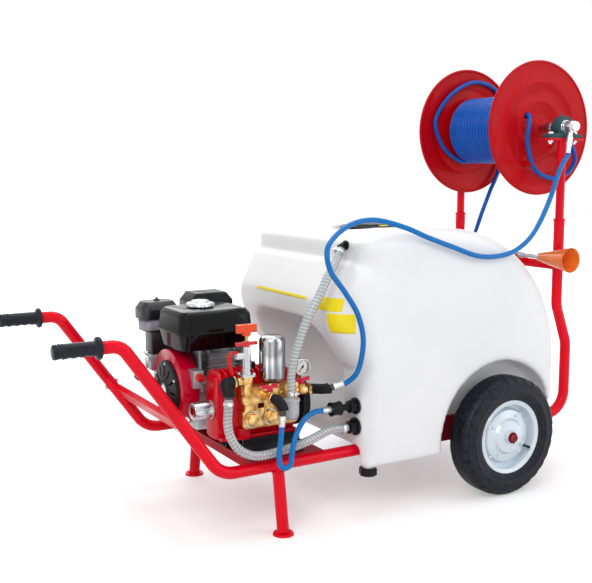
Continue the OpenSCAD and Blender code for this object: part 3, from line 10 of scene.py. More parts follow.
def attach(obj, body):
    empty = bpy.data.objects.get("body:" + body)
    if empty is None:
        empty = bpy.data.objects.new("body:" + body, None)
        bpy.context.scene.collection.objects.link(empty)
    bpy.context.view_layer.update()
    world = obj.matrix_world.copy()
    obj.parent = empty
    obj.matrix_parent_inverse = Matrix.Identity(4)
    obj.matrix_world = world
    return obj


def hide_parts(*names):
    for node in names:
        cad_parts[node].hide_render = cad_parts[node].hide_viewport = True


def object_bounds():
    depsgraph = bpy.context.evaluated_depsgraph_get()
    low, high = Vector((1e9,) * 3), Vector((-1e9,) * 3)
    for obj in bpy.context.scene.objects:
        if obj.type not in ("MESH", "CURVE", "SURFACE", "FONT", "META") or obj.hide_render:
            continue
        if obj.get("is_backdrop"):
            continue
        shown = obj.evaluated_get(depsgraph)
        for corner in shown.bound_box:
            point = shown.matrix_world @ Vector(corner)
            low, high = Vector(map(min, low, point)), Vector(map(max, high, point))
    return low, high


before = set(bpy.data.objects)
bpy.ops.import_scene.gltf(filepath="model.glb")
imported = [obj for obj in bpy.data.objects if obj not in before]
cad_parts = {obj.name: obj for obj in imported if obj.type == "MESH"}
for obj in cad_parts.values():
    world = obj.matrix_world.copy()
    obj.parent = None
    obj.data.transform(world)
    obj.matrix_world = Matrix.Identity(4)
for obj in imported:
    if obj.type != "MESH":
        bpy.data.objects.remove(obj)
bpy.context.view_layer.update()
scene = bpy.context.scene

# ---- Studio ----
# A white sweep of painted board under four large soft lamps, and a portrait lens at waist
# height. The board keeps the cart's soft shadow and fades into white behind it.
scene.view_settings.view_transform = "Standard"


def linear(code):
    """An sRGB hex colour as linear RGBA."""
    parts = [int(code[i : i + 2], 16) / 255 for i in (1, 3, 5)]
    return [p / 12.92 if p <= 0.04045 else ((p + 0.055) / 1.055) ** 2.4 for p in parts] + [1]


def add(tree, kind, sockets, **settings):
    """A shader node with its settings; a socket given another node's output is linked to it."""
    new = tree.nodes.new("ShaderNode" + kind)
    for key, value in settings.items():
        setattr(new, key, value)
    for key, value in sockets.items():
        if isinstance(value, bpy.types.NodeSocket):
            tree.links.new(value, new.inputs[key])
        else:
            new.inputs[key].default_value = value
    return new


def blank(name):
    """A material with an empty node tree and its output."""
    made = bpy.data.materials.new(name)
    made.use_nodes = True
    made.node_tree.nodes.clear()
    return made, made.node_tree, made.node_tree.nodes.new("ShaderNodeOutputMaterial")


def linked(name, data):
    """A new object that holds data, in the scene."""
    made = bpy.data.objects.new(name, data)
    scene.collection.objects.link(made)
    return made


def plain_rays(tree):
    """1 for rays that meet the plain background: seen directly, mirrored or through glass."""
    eye = add(tree, "LightPath", {})
    direct = add(tree, "Math", {0: eye.outputs["Is Camera Ray"],
                                1: eye.outputs["Is Transmission Ray"]}, operation="MAXIMUM")
    return add(tree, "Math", {0: direct.outputs[0], 1: eye.outputs["Is Glossy Ray"]},
               operation="MAXIMUM")


world = bpy.data.worlds.new("studio_air")
scene.world = world
world.use_nodes = True
sky = world.node_tree
sky.nodes.clear()
seen = plain_rays(sky)
plain = add(sky, "Background", {"Color": linear("#f6f6f7"), "Strength": 0.56})
white = add(sky, "Background", {"Color": (1, 1, 1, 1), "Strength": 1.0})
both = add(sky, "MixShader", {0: seen.outputs[0], 1: plain.outputs[0], 2: white.outputs[0]})
sky.links.new(both.outputs[0], sky.nodes.new("ShaderNodeOutputWorld").inputs[0])

board, tree, out = blank("painted_board")
fade_from, fade_to = 1.3, 3.4  # metres from the cart's middle
seen = plain_rays(tree)
at = add(tree, "TexCoord", {})
far = add(tree, "VectorMath", {0: at.outputs["Object"]}, operation="LENGTH")
fade = add(tree, "MapRange", {"Value": far.outputs["Value"], "From Min": fade_from,
                              "From Max": fade_to, "To Min": 0.34, "To Max": 1.0})
lift = add(tree, "Math", {0: seen.outputs[0], 1: fade.outputs[0]}, operation="MULTIPLY")
matt = add(tree, "BsdfDiffuse", {"Color": linear("#e9eaec")})
glow = add(tree, "Emission", {"Color": (1, 1, 1, 1), "Strength": lift.outputs[0]})
summed = add(tree, "AddShader", {0: matt.outputs[0], 1: glow.outputs[0]})
tree.links.new(summed.outputs[0], out.inputs[0])
board_r, board_drop = 14, 0.0005  # metres; the drop keeps it clear of the tyres and feet
shape = bmesh.new()
bmesh.ops.create_circle(shape, cap_ends=True, segments=96, radius=board_r)
sweep = linked("sweep", bpy.data.meshes.new("sweep"))
shape.to_mesh(sweep.data)
shape.free()
sweep.data.transform(Matrix.Translation((0, 0, -board_drop)))
sweep.data.materials.append(board)
sweep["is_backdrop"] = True

looks_down, turned_right = 7.5323, 30.2908  # degrees
camera = linked("camera", bpy.data.cameras.new("camera"))
camera.data.lens = 57.17
camera.data.sensor_width = 36
camera.location = (-1.557, -2.461, 1.004)
camera.rotation_euler = (math.radians(90 - looks_down), 0, math.radians(-turned_right))
scene.camera = camera

lit_middle = Vector((0, 0, 0.6))
for name, place, size, watts, tint in (
    ("key_lamp", (-3.4, -3.2, 3.6), 2.6, 106, "#fffcf6"),
    ("fill_lamp", (3.2, -3.4, 2.4), 3.2, 54, "#fafcff"),
    ("back_lamp", (0.6, 3.8, 3.4), 3.0, 66, "#ffffff"),
    ("top_lamp", (0.2, 0.0, 4.2), 2.4, 42, "#ffffff"),
):
    lamp = linked(name, bpy.data.lights.new(name, "AREA"))
    lamp.data.energy = watts
    lamp.data.size = size
    lamp.data.color = linear(tint)[:3]
    lamp.location = place
    lamp.rotation_euler = (lit_middle - Vector(place)).to_track_quat("-Z", "Y").to_euler()

# ---- Pressure hose ----
# Braided spray hose with a smooth mid-blue PVC skin, 15 mm outside. It leaves the pump's
# outlet elbow, climbs over the tank's shoulder and hangs in one sag up to the reel's swivel.


def smooth(route, steps):
    """Points on a smooth curve through a route in mm, steps to each stretch, in metres."""
    p = [Vector(q) / 1000 for q in route]
    line = []
    for i in range(len(p) - 1):
        a, b, c, d = p[max(i - 1, 0)], p[i], p[i + 1], p[min(i + 2, len(p) - 1)]
        for k in range(steps):
            t = k / steps
            line.append(b + t / 2 * (c - a) + t * t / 2 * (2 * a - 5 * b + 4 * c - d)
                        + t**3 / 2 * (3 * b - a - 3 * c + d))
    return [*line, p[-1]]


def straight_end(at, way, across, leaving=True):
    """Three points that carry a hose, across mm thick, straight out of a fitting or into one."""
    at, way = Vector(at), Vector(way).normalized()
    run = [at, at + way * 1.2 * across, at + way * 2.4 * across]
    return run if leaving else run[::-1]


def hose(name, line, across, material, swell=None, sides=8):
    """A round hose, across mm thick; swell gives each point of its line a share of the radius."""
    made = bpy.data.curves.new(name, "CURVE")
    made.dimensions = "3D"
    made.bevel_depth = across / 2000
    made.bevel_resolution = sides
    made.use_fill_caps = True
    spline = made.splines.new("POLY")
    spline.points.add(len(line) - 1)
    for i, (point, at) in enumerate(zip(spline.points, line)):
        point.co = (*at, 1)
        point.radius = swell[i] if swell else 1
    made.materials.append(material)
    return linked(name, made)


def hose_skin(name, colour, rough, tint):
    """Extruded PVC: an even colour, a wet-looking skin and a faint waviness from the braid."""
    made, tree, out = blank(name)
    at = add(tree, "TexCoord", {})
    cloud = add(tree, "TexNoise", {"Vector": at.outputs["Object"], "Scale": 14.0, "Detail": 3.0})
    # braid pitch of 6 mm, which shows only as a soft ripple
    braid = add(tree, "TexVoronoi", {"Vector": at.outputs["Object"], "Scale": 1 / 0.006})
    mixed = add(tree, "Mix", {0: cloud.outputs[0], 6: linear(colour), 7: linear(tint)},
                data_type="RGBA")
    ripple = add(tree, "Bump", {"Height": braid.outputs["Distance"], "Strength": 0.05,
                                "Distance": 0.0006})
    skin = add(tree, "BsdfPrincipled", {"Base Color": mixed.outputs[2], "Roughness": rough,
                                        "IOR": 1.53, "Specular IOR Level": 0.12,
                                        "Coat Weight": 0.12, "Coat Roughness": 0.1,
                                        "Normal": ripple.outputs[0]})
    tree.links.new(skin.outputs[0], out.inputs[0])
    return made


blue_pvc = hose_skin("blue_pvc", "#0c68b0", 0.28, "#137ac5")
blue_across = 15
outlet, outlet_way = (-170, -301, 398), (0.86, -0.42, 0.3)
swivel_end, swivel_way = (721.96, -282, 1074.56), (-0.13865, 0, -0.99034)
pressure_line = smooth(
    straight_end(outlet, outlet_way, blue_across)
    + [(-122, -345, 446), (-117, -362, 530), (-141, -370, 607), (-184, -370, 672),
       (-225, -365, 728), (-232, -356, 780), (-200, -337, 815), (-130, -318, 849),
       (-46, -312, 858), (40, -333, 836), (110, -350, 806), (200, -354, 775), (300, -352, 744),
       (400, -346, 742), (480, -336, 764), (550, -324, 812), (622, -306, 900), (682, -289, 1000)]
    + straight_end(swivel_end, swivel_way, blue_across, leaving=False), 6)
pressure_hose = hose("pressure_hose_skin", pressure_line, blue_across, blue_pvc)
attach(pressure_hose, "cart")
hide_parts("pressure_hose")

# ---- Agitator hose ----
# A short length of the same blue hose. It hangs from the by-pass elbow in a narrow loop
# that nearly touches the engine plate, and rises to the upper port of the tank.
by_pass, upper_port = (-344, -312, 336), (-174, -283, 328)
agitator_line = smooth(
    [by_pass, (-346.8, -313.9, 316.3), (-352, -317, 276), (-358, -319, 240),
     (-358, -321, 215), (-355, -322, 205), (-348, -322, 198), (-339, -322, 196),
     (-330, -322, 199), (-323, -322, 207), (-319, -320, 232), (-304, -313, 276),
     (-272, -302, 314), (-232, -290, 329), (-196, -283, 328), upper_port], 8)
agitator_hose = hose("agitator_hose_skin", agitator_line, blue_across, blue_pvc)
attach(agitator_hose, "cart")
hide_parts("agitator_hose")

# ---- Suction and return hoses ----
# Clear vinyl hose with a stiff white helix moulded into its wall, 26 mm outside, and one
# red line along it. One feeds the pump from the lower port, one goes back to the tank's top.
clear_vinyl, tree, out = blank("clear_vinyl")
at = add(tree, "TexCoord", {})
cloud = add(tree, "TexNoise", {"Vector": at.outputs["Object"], "Scale": 30.0, "Detail": 4.0})
film = add(tree, "ValToRGB", {"Fac": cloud.outputs[0]})
film.color_ramp.elements[0].color = linear("#a3aeb3")
film.color_ramp.elements[1].color = linear("#c6ced1")
fine = add(tree, "Bump", {"Height": cloud.outputs[0], "Strength": 0.15, "Distance": 0.0005})
skin = add(tree, "BsdfPrincipled", {
    "Base Color": film.outputs[0], "Roughness": 0.2, "IOR": 1.53, "Alpha": 0.72,
    "Coat Weight": 0.4, "Coat Roughness": 0.12, "Normal": fine.outputs[0]})
tree.links.new(skin.outputs[0], out.inputs[0])


def coloured_vinyl(name, low, high, patches, rough):
    """Extruded vinyl of one colour, clouded a little where the pigment ran thin."""
    made, tree, out = blank(name)
    at = add(tree, "TexCoord", {})
    cloud = add(tree, "TexNoise", {"Vector": at.outputs["Object"], "Scale": patches})
    tone = add(tree, "ValToRGB", {"Fac": cloud.outputs[0]})
    tone.color_ramp.elements[0].color = linear(low)
    tone.color_ramp.elements[1].color = linear(high)
    skin = add(tree, "BsdfPrincipled", {"Base Color": tone.outputs[0], "Roughness": rough,
                                        "IOR": 1.53})
    tree.links.new(skin.outputs[0], out.inputs[0])
    return made


helix_white = coloured_vinyl("rigid_white_vinyl", "#c9d3d9", "#eef2f4", 60.0, 0.28)
tracer_red = coloured_vinyl("red_tracer_vinyl", "#b5232b", "#d9444a", 80.0, 0.3)
clear_across = 26  # over the helix


def ribbed_hose(name, route, ribs, facing):
    """The clear tube, its moulded helix standing proud, and the red line on its facing side."""
    tube_across, helix_across, tracer_across = 24.4, 2.1, 1.7
    helix_r, tracer_r = 0.0117, 0.0118  # metres from the hose's middle
    per_turn = 12
    line = smooth(route, 48)
    run = [0.0]
    for a, b in zip(line, line[1:]):
        run.append(run[-1] + (b - a).length)
    total = run[-1]
    tube = hose(name + "_tube", line, tube_across, clear_vinyl, sides=7)
    # the helix: one turn to a rib, on a circle that follows the tube
    turns, tracer, ahead = [], [], Vector(facing)
    step = total / (ribs * per_turn)
    i = 0
    for k in range(ribs * per_turn + 1):
        s = min(k * step, total)
        while i < len(run) - 2 and run[i + 1] < s:
            i += 1
        here = line[i].lerp(line[i + 1], (s - run[i]) / (run[i + 1] - run[i]))
        way = (line[i + 1] - line[i]).normalized()
        ahead = (ahead - way * ahead.dot(way)).normalized()
        side = way.cross(ahead)
        turn = 2 * math.pi * k / per_turn
        turns.append(here + (ahead * math.cos(turn) + side * math.sin(turn)) * helix_r)
        if k % 4 == 0:
            tracer.append(here + ahead * tracer_r)
    coil = hose(name + "_helix", turns[6:-6], helix_across, helix_white, sides=1)
    mark = hose(name + "_tracer", tracer[1:-1], tracer_across, tracer_red, sides=2)
    for piece in (tube, coil, mark):
        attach(piece, "cart")
    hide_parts(name)


suction_way, barb, barb_way = (-0.12, -0.14, -1), (-110, -234, 774), (-0.62, -0.4, -0.68)
cup_x, cup_y = -295, -275
ribbed_hose("suction_hose",
            straight_end((-482, -266, 392), suction_way, clear_across)
            + [(-484, -281, 292), (-460, -289, 255), (-410, -292, 233), (-330, -292, 237),
               (-250, -290, 250)]
            + straight_end((-117, -283, 268), (-1, 0, 0), clear_across, leaving=False),
            52, (0, -0.6, 0.8))
ribbed_hose("return_hose",
            straight_end((cup_x, cup_y, 376), (0, 0, 1), clear_across)
            + [(-286, -279, 492), (-266, -285, 556), (-245, -290, 606), (-208, -286, 662),
               (-176, -272, 704)]
            + straight_end(barb, barb_way, clear_across, leaving=False),
            46, (0.7, -0.7, 0))

# ---- Hose on the reel ----
# Half-inch spray hose with a royal blue skin, 14.5 mm outside: one layer of twenty turns
# shows on the drum, one end goes down to the lance and the other back through the disc.
royal_pvc = hose_skin("royal_blue_pvc", "#084ca4", 0.22, "#0e5dc0")
reel_across, drum_r = 14.5, 99
reel_x, reel_z = 730, 1132
rows, pitch, steps = 20, 15.4, 48  # turns on the drum, mm from one to the next, points to each
start_y, end_y = -120.0, 188
drawn_sides = 20  # the CAD's turns have 20 sides, and these run where their corners are
wind_r = (drum_r + reel_across / 2 + 0.3) / math.cos(math.pi / drawn_sides)
wound = [Vector((reel_x + reel_across, start_y, reel_z - wind_r))]
for k in range(rows * steps + 1):
    turn = 2 * math.pi * k / steps
    wound.append(Vector((reel_x - wind_r * math.sin(turn), start_y + pitch * k / steps,
                         reel_z - wind_r * math.cos(turn))))
wound.append(Vector((reel_x - reel_across, end_y, reel_z - wind_r)))
winding = hose("wound_hose", [p / 1000 for p in wound], reel_across, royal_pvc, sides=5)
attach(winding, "reel")
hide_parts("hose_winding")

lance_end, disc_end = (684, 300, 600), (760, -195, 1117)
gun_line = smooth(
    straight_end(wound[-1], (-1, 0, 0), reel_across)
    + [(640, 196, 1044), (598, 203, 1088), (571, 204, 1168), (637, 204, 1257),
       (741, 204, 1307), (846, 204, 1283), (893, 202, 1195), (888, 198, 1095), (856, 190, 986),
       (811, 180, 915), (778, 182, 840), (768, 206, 765), (780, 262, 690), (800, 290, 640),
       (806, 300, 580), (786, 302, 520), (745, 303, 492), (704, 302, 520)]
    + straight_end(lance_end, (0, 0, -1), reel_across, leaving=False), 8)
gun_hose = hose("gun_hose_skin", gun_line, reel_across, royal_pvc)
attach(gun_hose, "cart")
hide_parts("gun_hose")

inner_line = smooth(
    [(669, -135, 1172), (669, -155, 1172), (662, -165, 1144), (656, -166, 1092),
     (668, -166, 1042), (695, -165, 996), (740, -165, 974), (786, -166, 967), (830, -178, 986),
     (853, -185, 1022), (842, -188, 1060), (808, -195, 1093), disc_end], 8)
inner_hose = hose("disc_hose_skin", inner_line, reel_across, royal_pvc)
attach(inner_hose, "reel")
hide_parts("reel_inner_hose")

# ---- Barrow frame ----
# Two bent 34 mm steel tubes run from the handles to the reel posts; cross tubes, plate,
# legs and posts are welded to them, and all of it is dipped in red stove enamel.


def enamel(name, colour, deep, rough, coat=0.15, peel=0.25):
    """Sprayed or dipped gloss paint: an even film that pools darker here and there, with
    a faint orange peel of 3 mm waves under a clear, reflective skin."""
    made, tree, out = blank(name)
    at = add(tree, "TexCoord", {})
    pool = add(tree, "TexNoise", {"Vector": at.outputs["Object"], "Scale": 7.0, "Detail": 3.0})
    waves = add(tree, "TexNoise", {"Vector": at.outputs["Object"], "Scale": 1 / 0.003})
    film = add(tree, "Mix", {0: pool.outputs[0], 6: linear(colour), 7: linear(deep)},
               data_type="RGBA")
    dull = add(tree, "MapRange", {"Value": pool.outputs[0], "To Min": rough - 0.05,
                                  "To Max": rough + 0.08})
    bump = add(tree, "Bump", {"Height": waves.outputs[0], "Strength": peel, "Distance": 0.0002})
    skin = add(tree, "BsdfPrincipled", {
        "Base Color": film.outputs[2], "Roughness": dull.outputs[0], "IOR": 1.5,
        "Specular IOR Level": 0.08, "Coat Weight": coat, "Coat Roughness": 0.06,
        "Normal": bump.outputs[0]})
    tree.links.new(skin.outputs[0], out.inputs[0])
    return made


def finish_node(node, material, edge=0.6, angle=32):
    """A CAD solid made ready: corners merged, flats made whole, edges broken by edge mm."""
    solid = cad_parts[node]
    solid.data.materials.clear()
    solid.data.materials.append(material)
    solid.data.polygons.foreach_set("use_smooth", [True] * len(solid.data.polygons))
    weld = solid.modifiers.new("weld", "WELD")
    weld.merge_threshold = 0.00001
    flats = solid.modifiers.new("flats", "DECIMATE")
    flats.decimate_type = "DISSOLVE"
    flats.angle_limit = math.radians(0.6)
    broken = solid.modifiers.new("broken_edges", "BEVEL")
    broken.width = edge / 1000
    broken.segments = 2
    broken.limit_method = "ANGLE"
    broken.angle_limit = math.radians(angle)
    broken.harden_normals = True
    return solid


red_enamel = enamel("red_stove_enamel", "#f00426", "#dc0320", 0.3, coat=0.14)
for node in ("side_tube_left", "side_tube_right", "cross_members", "legs", "handles",
             "reel_posts"):
    finish_node(node, red_enamel, edge=0.8)
# the plate takes a darker, less glossy copy of the frame's red
finish_node("engine_plate", enamel("red_enamel_darker", "#bd0a20", "#9f081a", 0.38, coat=0.08),
            edge=0.8)

# ---- Weld beads ----
# MIG beads where a leg meets its rail and its foot, and where the rear bar meets the posts:
# a ring of small overlapping ripples of weld metal, painted over with the frame.


def placed(name, shape, material, body, at=(0, 0, 0), axis="Z", smooth_angle=40):
    """Turns a bmesh in mm from +Z to its axis, moves it to its place and makes the piece."""
    bmesh.ops.remove_doubles(shape, verts=shape.verts, dist=0.002)
    bmesh.ops.recalc_face_normals(shape, faces=shape.faces)
    way = {"X": (1, 0, 0), "-X": (-1, 0, 0), "Y": (0, 1, 0), "-Y": (0, -1, 0),
           "Z": (0, 0, 1)}.get(axis, axis)
    turn = Vector((0, 0, 1)).rotation_difference(Vector(way)).to_matrix().to_4x4()
    if way == (0, 0, -1):
        turn = Matrix.Rotation(math.pi, 4, "X")
    shape.transform(Matrix.Scale(0.001, 4) @ Matrix.Translation(at) @ turn)
    for face in shape.faces:
        face.smooth = True
    for line in shape.edges:
        if len(line.link_faces) == 2 and line.calc_face_angle(0) > math.radians(smooth_angle):
            line.smooth = False
    mesh = bpy.data.meshes.new(name)
    shape.to_mesh(mesh)
    shape.free()
    mesh.materials.append(material)
    piece = linked(name, mesh)
    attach(piece, body)
    return piece


def bead(name, at, way, r, ripples=26):
    """A rippled ring of weld metal, radius r mm, round a tube that points along way."""
    shape = bmesh.new()
    way = Vector(way).normalized()
    side = way.orthogonal().normalized()
    other = way.cross(side)
    for k in range(ripples):
        turn = 2 * math.pi * k / ripples
        spot = Vector(at) + (side * math.cos(turn) + other * math.sin(turn)) * r
        made = bmesh.ops.create_icosphere(shape, subdivisions=1, radius=1.0)["verts"]
        size = Matrix.Diagonal((3.4, 3.4, 2.6, 1))
        bmesh.ops.transform(shape, matrix=Matrix.Translation(spot) @ size, verts=made)
    return placed(name, shape, red_enamel, "cart", smooth_angle=80)


both_sides = ((-1, "right"), (1, "left"))
leg_x, rear_bar_z = -334, 684
leg_bead_r, bar_bead_r = 17.6, 14.2
leg_out, leg_down = 298 - 267, 4 - 190  # from the leg's top to its foot
for side, word in both_sides:
    leg_way = (0, side * leg_out, leg_down)
    bead(f"leg_weld_{word}", (leg_x, side * 269.5, 172), leg_way, leg_bead_r)
    bead(f"foot_weld_{word}", (leg_x, side * 296.8, 7.5), leg_way, leg_bead_r)
    bead(f"rear_bar_weld_{word}", (reel_x, side * 229.6, rear_bar_z), (0, 1, 0), bar_bead_r, 20)

# ---- Handle grips ----
# Blue-black PVC grips dipped and pushed over the handle ends: a flange at the thumb, four
# soft finger hollows below, two rings at the end and a skin of fine moulded dimples.
grip_rubber, tree, out = blank("soft_black_pvc")
at = add(tree, "TexCoord", {})
dust = add(tree, "TexNoise", {"Vector": at.outputs["Object"], "Scale": 40.0, "Detail": 5.0})
tone = add(tree, "ValToRGB", {"Fac": dust.outputs[0]})
tone.color_ramp.elements[0].color = linear("#11131a")
tone.color_ramp.elements[1].color = linear("#1f222b")
fine = add(tree, "TexVoronoi", {"Vector": at.outputs["Object"], "Scale": 1 / 0.003})
grain = add(tree, "Bump", {"Height": fine.outputs["Distance"], "Strength": 0.35,
                           "Distance": 0.0005})
skin = add(tree, "BsdfPrincipled", {"Base Color": tone.outputs[0], "Roughness": 0.36,
                                    "IOR": 1.5, "Specular IOR Level": 0.2,
                                    "Normal": grain.outputs[0]})
tree.links.new(skin.outputs[0], out.inputs[0])


def turned(outline, steps, closed=False):
    """An outline of (radius, height) points in mm, spun about Z; closed joins its ends first."""
    shape = bmesh.new()
    points = [shape.verts.new((r, 0, h)) for r, h in outline]
    after = points[1:] + points[:1] if closed else points[1:]
    edges = [shape.edges.new(pair) for pair in zip(points, after)]
    bmesh.ops.spin(shape, geom=points + edges, cent=(0, 0, 0), axis=(0, 0, 1),
                   angle=2 * math.pi, steps=steps, use_merge=True)
    return shape


grip_outline = [(0, 0), (13, 0), (17.5, 1.6), (19.5, 5.5), (19.2, 13)]
for z in (15, 23):  # two rings, 8 mm apart, at the end
    grip_outline += [(19.1, z), (20.3, z + 1.2), (20.3, z + 3.2), (19.1, z + 4.4)]
grip_outline += [(19.4, z) for z in range(32, 102, 4)]
grip_outline += [(18.9, 104), (21, 107), (28.2, 110), (29, 112), (29, 117), (28, 119),
                 (17.2, 119)]
first_finger, finger, hollow = 18, 22, 2.5  # mm: where they start, their pitch and depth
grip_tip, grip_y, grip_z = -950, 270, 566
for side, word in both_sides:
    shape = turned(grip_outline, 48)
    bmesh.ops.remove_doubles(shape, verts=shape.verts, dist=0.002)
    for v in shape.verts:  # finger hollows press the underside in
        if 12 < v.co.z < 104 and v.co.x > 0:
            deep = math.cos(math.pi * (v.co.z - first_finger) / finger) ** 2 * (v.co.x / 20) ** 2
            v.co.x -= hollow * deep
    grip = placed(f"grip_{word}", shape, grip_rubber, "cart",
                  (grip_tip, side * grip_y, grip_z), "X", 50)
    if side < 0:
        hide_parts("grips")

# ---- Bolts ----
# The frame's bolts and nuts are cold-formed steel, zinc plated: a bright skin with a clear,
# slightly blue passivation that clouds a little from one spot to the next.
zinc_plate, tree, out = blank("zinc_plated_steel")
at = add(tree, "TexCoord", {})
cloud = add(tree, "TexNoise", {"Vector": at.outputs["Object"], "Scale": 120.0, "Detail": 4.0})
tone = add(tree, "ValToRGB", {"Fac": cloud.outputs[0]})
tone.color_ramp.elements[0].color = linear("#c3c7ca")
tone.color_ramp.elements[1].color = linear("#eff0f1")
dull = add(tree, "MapRange", {"Value": cloud.outputs[0], "To Min": 0.22, "To Max": 0.4})
skin = add(tree, "BsdfPrincipled", {"Base Color": tone.outputs[0], "Metallic": 1.0,
                                    "Roughness": dull.outputs[0]})
tree.links.new(skin.outputs[0], out.inputs[0])
finish_node("fasteners", zinc_plate, edge=0.4)

# ---- Axle ----
# A plate welded to each rail carries a turned stub, painted dark red with it. The stub's bare
# end, outside the wheel, has rusted to copper brown.
finish_node("axle", enamel("dark_red_enamel", "#8f1628", "#6d1020", 0.4), edge=0.6)
rust, tree, out = blank("light_rust")
at = add(tree, "TexCoord", {})
cloud = add(tree, "TexNoise", {"Vector": at.outputs["Object"], "Scale": 160.0, "Detail": 6.0})
tone = add(tree, "ValToRGB", {"Fac": cloud.outputs[0]})
tone.color_ramp.elements[0].color = linear("#7a3f27")
tone.color_ramp.elements[1].color = linear("#c58a63")
skin = add(tree, "BsdfPrincipled", {"Base Color": tone.outputs[0], "Metallic": 0.5,
                                    "Roughness": 0.55})
tree.links.new(skin.outputs[0], out.inputs[0])


def spun(name, material, body, outline, steps, at, axis="Z", smooth_angle=40):
    """A turned piece: its outline spun, then set down at its place along its axis."""
    return placed(name, turned(outline, steps), material, body, at, axis, smooth_angle)


wheel_x, wheel_y, wheel_z = 420, 342, 185
stub_end = 392
for side, word in both_sides:
    spun(f"axle_tip_{word}", rust, "cart",
         [(10.05, 0), (10.2, 0.3), (10.2, 6.2), (9, 7.6), (3, 7.9), (2.2, 7.2), (0, 7.0)], 40,
         (wheel_x, side * stub_end, wheel_z), "Y" if side > 0 else "-Y")

# ---- Tyres ----
# 3.50-8 cross-ply barrow tyres of black natural rubber: ribs round the crown, blocks on the
# shoulder, fine moulded rings on the wall, all a little scuffed and dusty.
tyre_rubber, tree, out = blank("natural_rubber")
at = add(tree, "TexCoord", {})
scuff = add(tree, "TexNoise", {"Vector": at.outputs["Object"], "Scale": 55.0, "Detail": 8.0,
                               "Roughness": 0.7})
tone = add(tree, "ValToRGB", {"Fac": scuff.outputs[0]})
tone.color_ramp.elements[0].position = 0.42
tone.color_ramp.elements[0].color = linear("#0c0e17")
tone.color_ramp.elements[1].position = 0.8
tone.color_ramp.elements[1].color = linear("#2c2f3a")
dull = add(tree, "MapRange", {"Value": scuff.outputs[0], "To Min": 0.28, "To Max": 0.6})
grit = add(tree, "TexNoise", {"Vector": at.outputs["Object"], "Scale": 1 / 0.0012})
bump = add(tree, "Bump", {"Height": grit.outputs[0], "Strength": 0.25, "Distance": 0.0003})
skin = add(tree, "BsdfPrincipled", {"Base Color": tone.outputs[0], "Roughness": dull.outputs[0],
                                    "IOR": 1.52, "Specular IOR Level": 0.2,
                                    "Normal": bump.outputs[0]})
tree.links.new(skin.outputs[0], out.inputs[0])
half = [(185, 0), (185, 4.6), (181.2, 5.4), (181.2, 7.4), (185, 8.2), (184.8, 16.6),
        (180.8, 17.6), (180.8, 19.6), (184.4, 20.6), (183.2, 28), (180.5, 33), (176, 38.2),
        (171, 41.2), (167.4, 42.2), (166.8, 43.4), (164.6, 43.6), (163.8, 42.9), (153.5, 44.9),
        (146, 44.95), (144.6, 45.9), (142.6, 45.8), (141.4, 44.7), (132.5, 42.6), (131.6, 43.2),
        (129.6, 42.9), (128.8, 41.2), (123, 38.9), (118.4, 38.4), (115.2, 37.4), (114.9, 34.2)]
tread = [(r, -h) for r, h in half[:0:-1]] + half
lowest_r, nearest, farthest, sectors = 172, 28, 40, 60  # where the shoulder's blocks stand
for side, word in both_sides:
    shape = turned(tread, 120)
    bmesh.ops.remove_doubles(shape, verts=shape.verts, dist=0.002)
    bmesh.ops.recalc_face_normals(shape, faces=shape.faces)
    gaps = []
    for face in shape.faces:  # every other sector of the shoulder sinks between two blocks
        spot = face.calc_center_median()
        odd = int((math.atan2(spot.y, spot.x) / (2 * math.pi) + 1) * sectors) % 2
        if nearest < abs(spot.z) < farthest and math.hypot(spot.x, spot.y) > lowest_r and odd:
            gaps.append(face)
    bmesh.ops.inset_region(shape, faces=gaps, thickness=0.9, depth=-2.2, use_even_offset=True)
    tyre = placed(f"tyre_moulding_{word}", shape, tyre_rubber, f"wheel_{word}",
                  (wheel_x, side * wheel_y, wheel_z), "Y", 38)
    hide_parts(f"tyre_{word}")

# ---- Wheel rims ----
# Two pressed steel halves riveted together and sprayed pale silver-blue, with a hub tube,
# a greased plain bush and a rubber valve.
rim_paint = enamel("silver_blue_enamel", "#dce4ea", "#c6d2dc", 0.28, coat=0.2)
rim_paint.node_tree.nodes["Principled BSDF"].inputs["Metallic"].default_value = 0.35
rivet_r, rim_face, bush_y = 84.5, 14.5, 386.9
valve_x, valve_y, valve_z = 70, 22, -40  # from the wheel's middle
for side, word in both_sides:
    finish_node(f"rim_{word}", rim_paint, edge=0.5, angle=28)
    away = "Y" if side > 0 else "-Y"
    for k in range(4):  # dome-headed rivets, three quarters of the way out
        turn = math.pi / 4 + k * math.pi / 2
        spot = (wheel_x + rivet_r * math.cos(turn), side * (wheel_y + rim_face),
                wheel_z + rivet_r * math.sin(turn))
        spun(f"rim_rivet_{word}_{k}", zinc_plate, f"wheel_{word}",
             [(5.2, -4), (5.2, 0), (4.6, 1.6), (2.8, 2.8), (0, 3.2)], 20, spot, away)
    spun(f"valve_{word}", grip_rubber, f"wheel_{word}",
         [(5.4, -8), (5.0, 0), (3.6, 4), (3.2, 14), (4.2, 15), (4.2, 23), (3.4, 25), (0, 25)], 20,
         (wheel_x + valve_x, side * (wheel_y + valve_y), wheel_z + valve_z), away)
    spun(f"bush_{word}", enamel(f"pale_blue_bush_{word}", "#9cc4dc", "#7fa9c4", 0.35),
         f"wheel_{word}",
         [(12.4, 0), (16, 0), (17.5, -1.5), (17.5, -9.5), (21.5, -11), (21.5, -13)], 40,
         (wheel_x, side * bush_y, wheel_z), away)

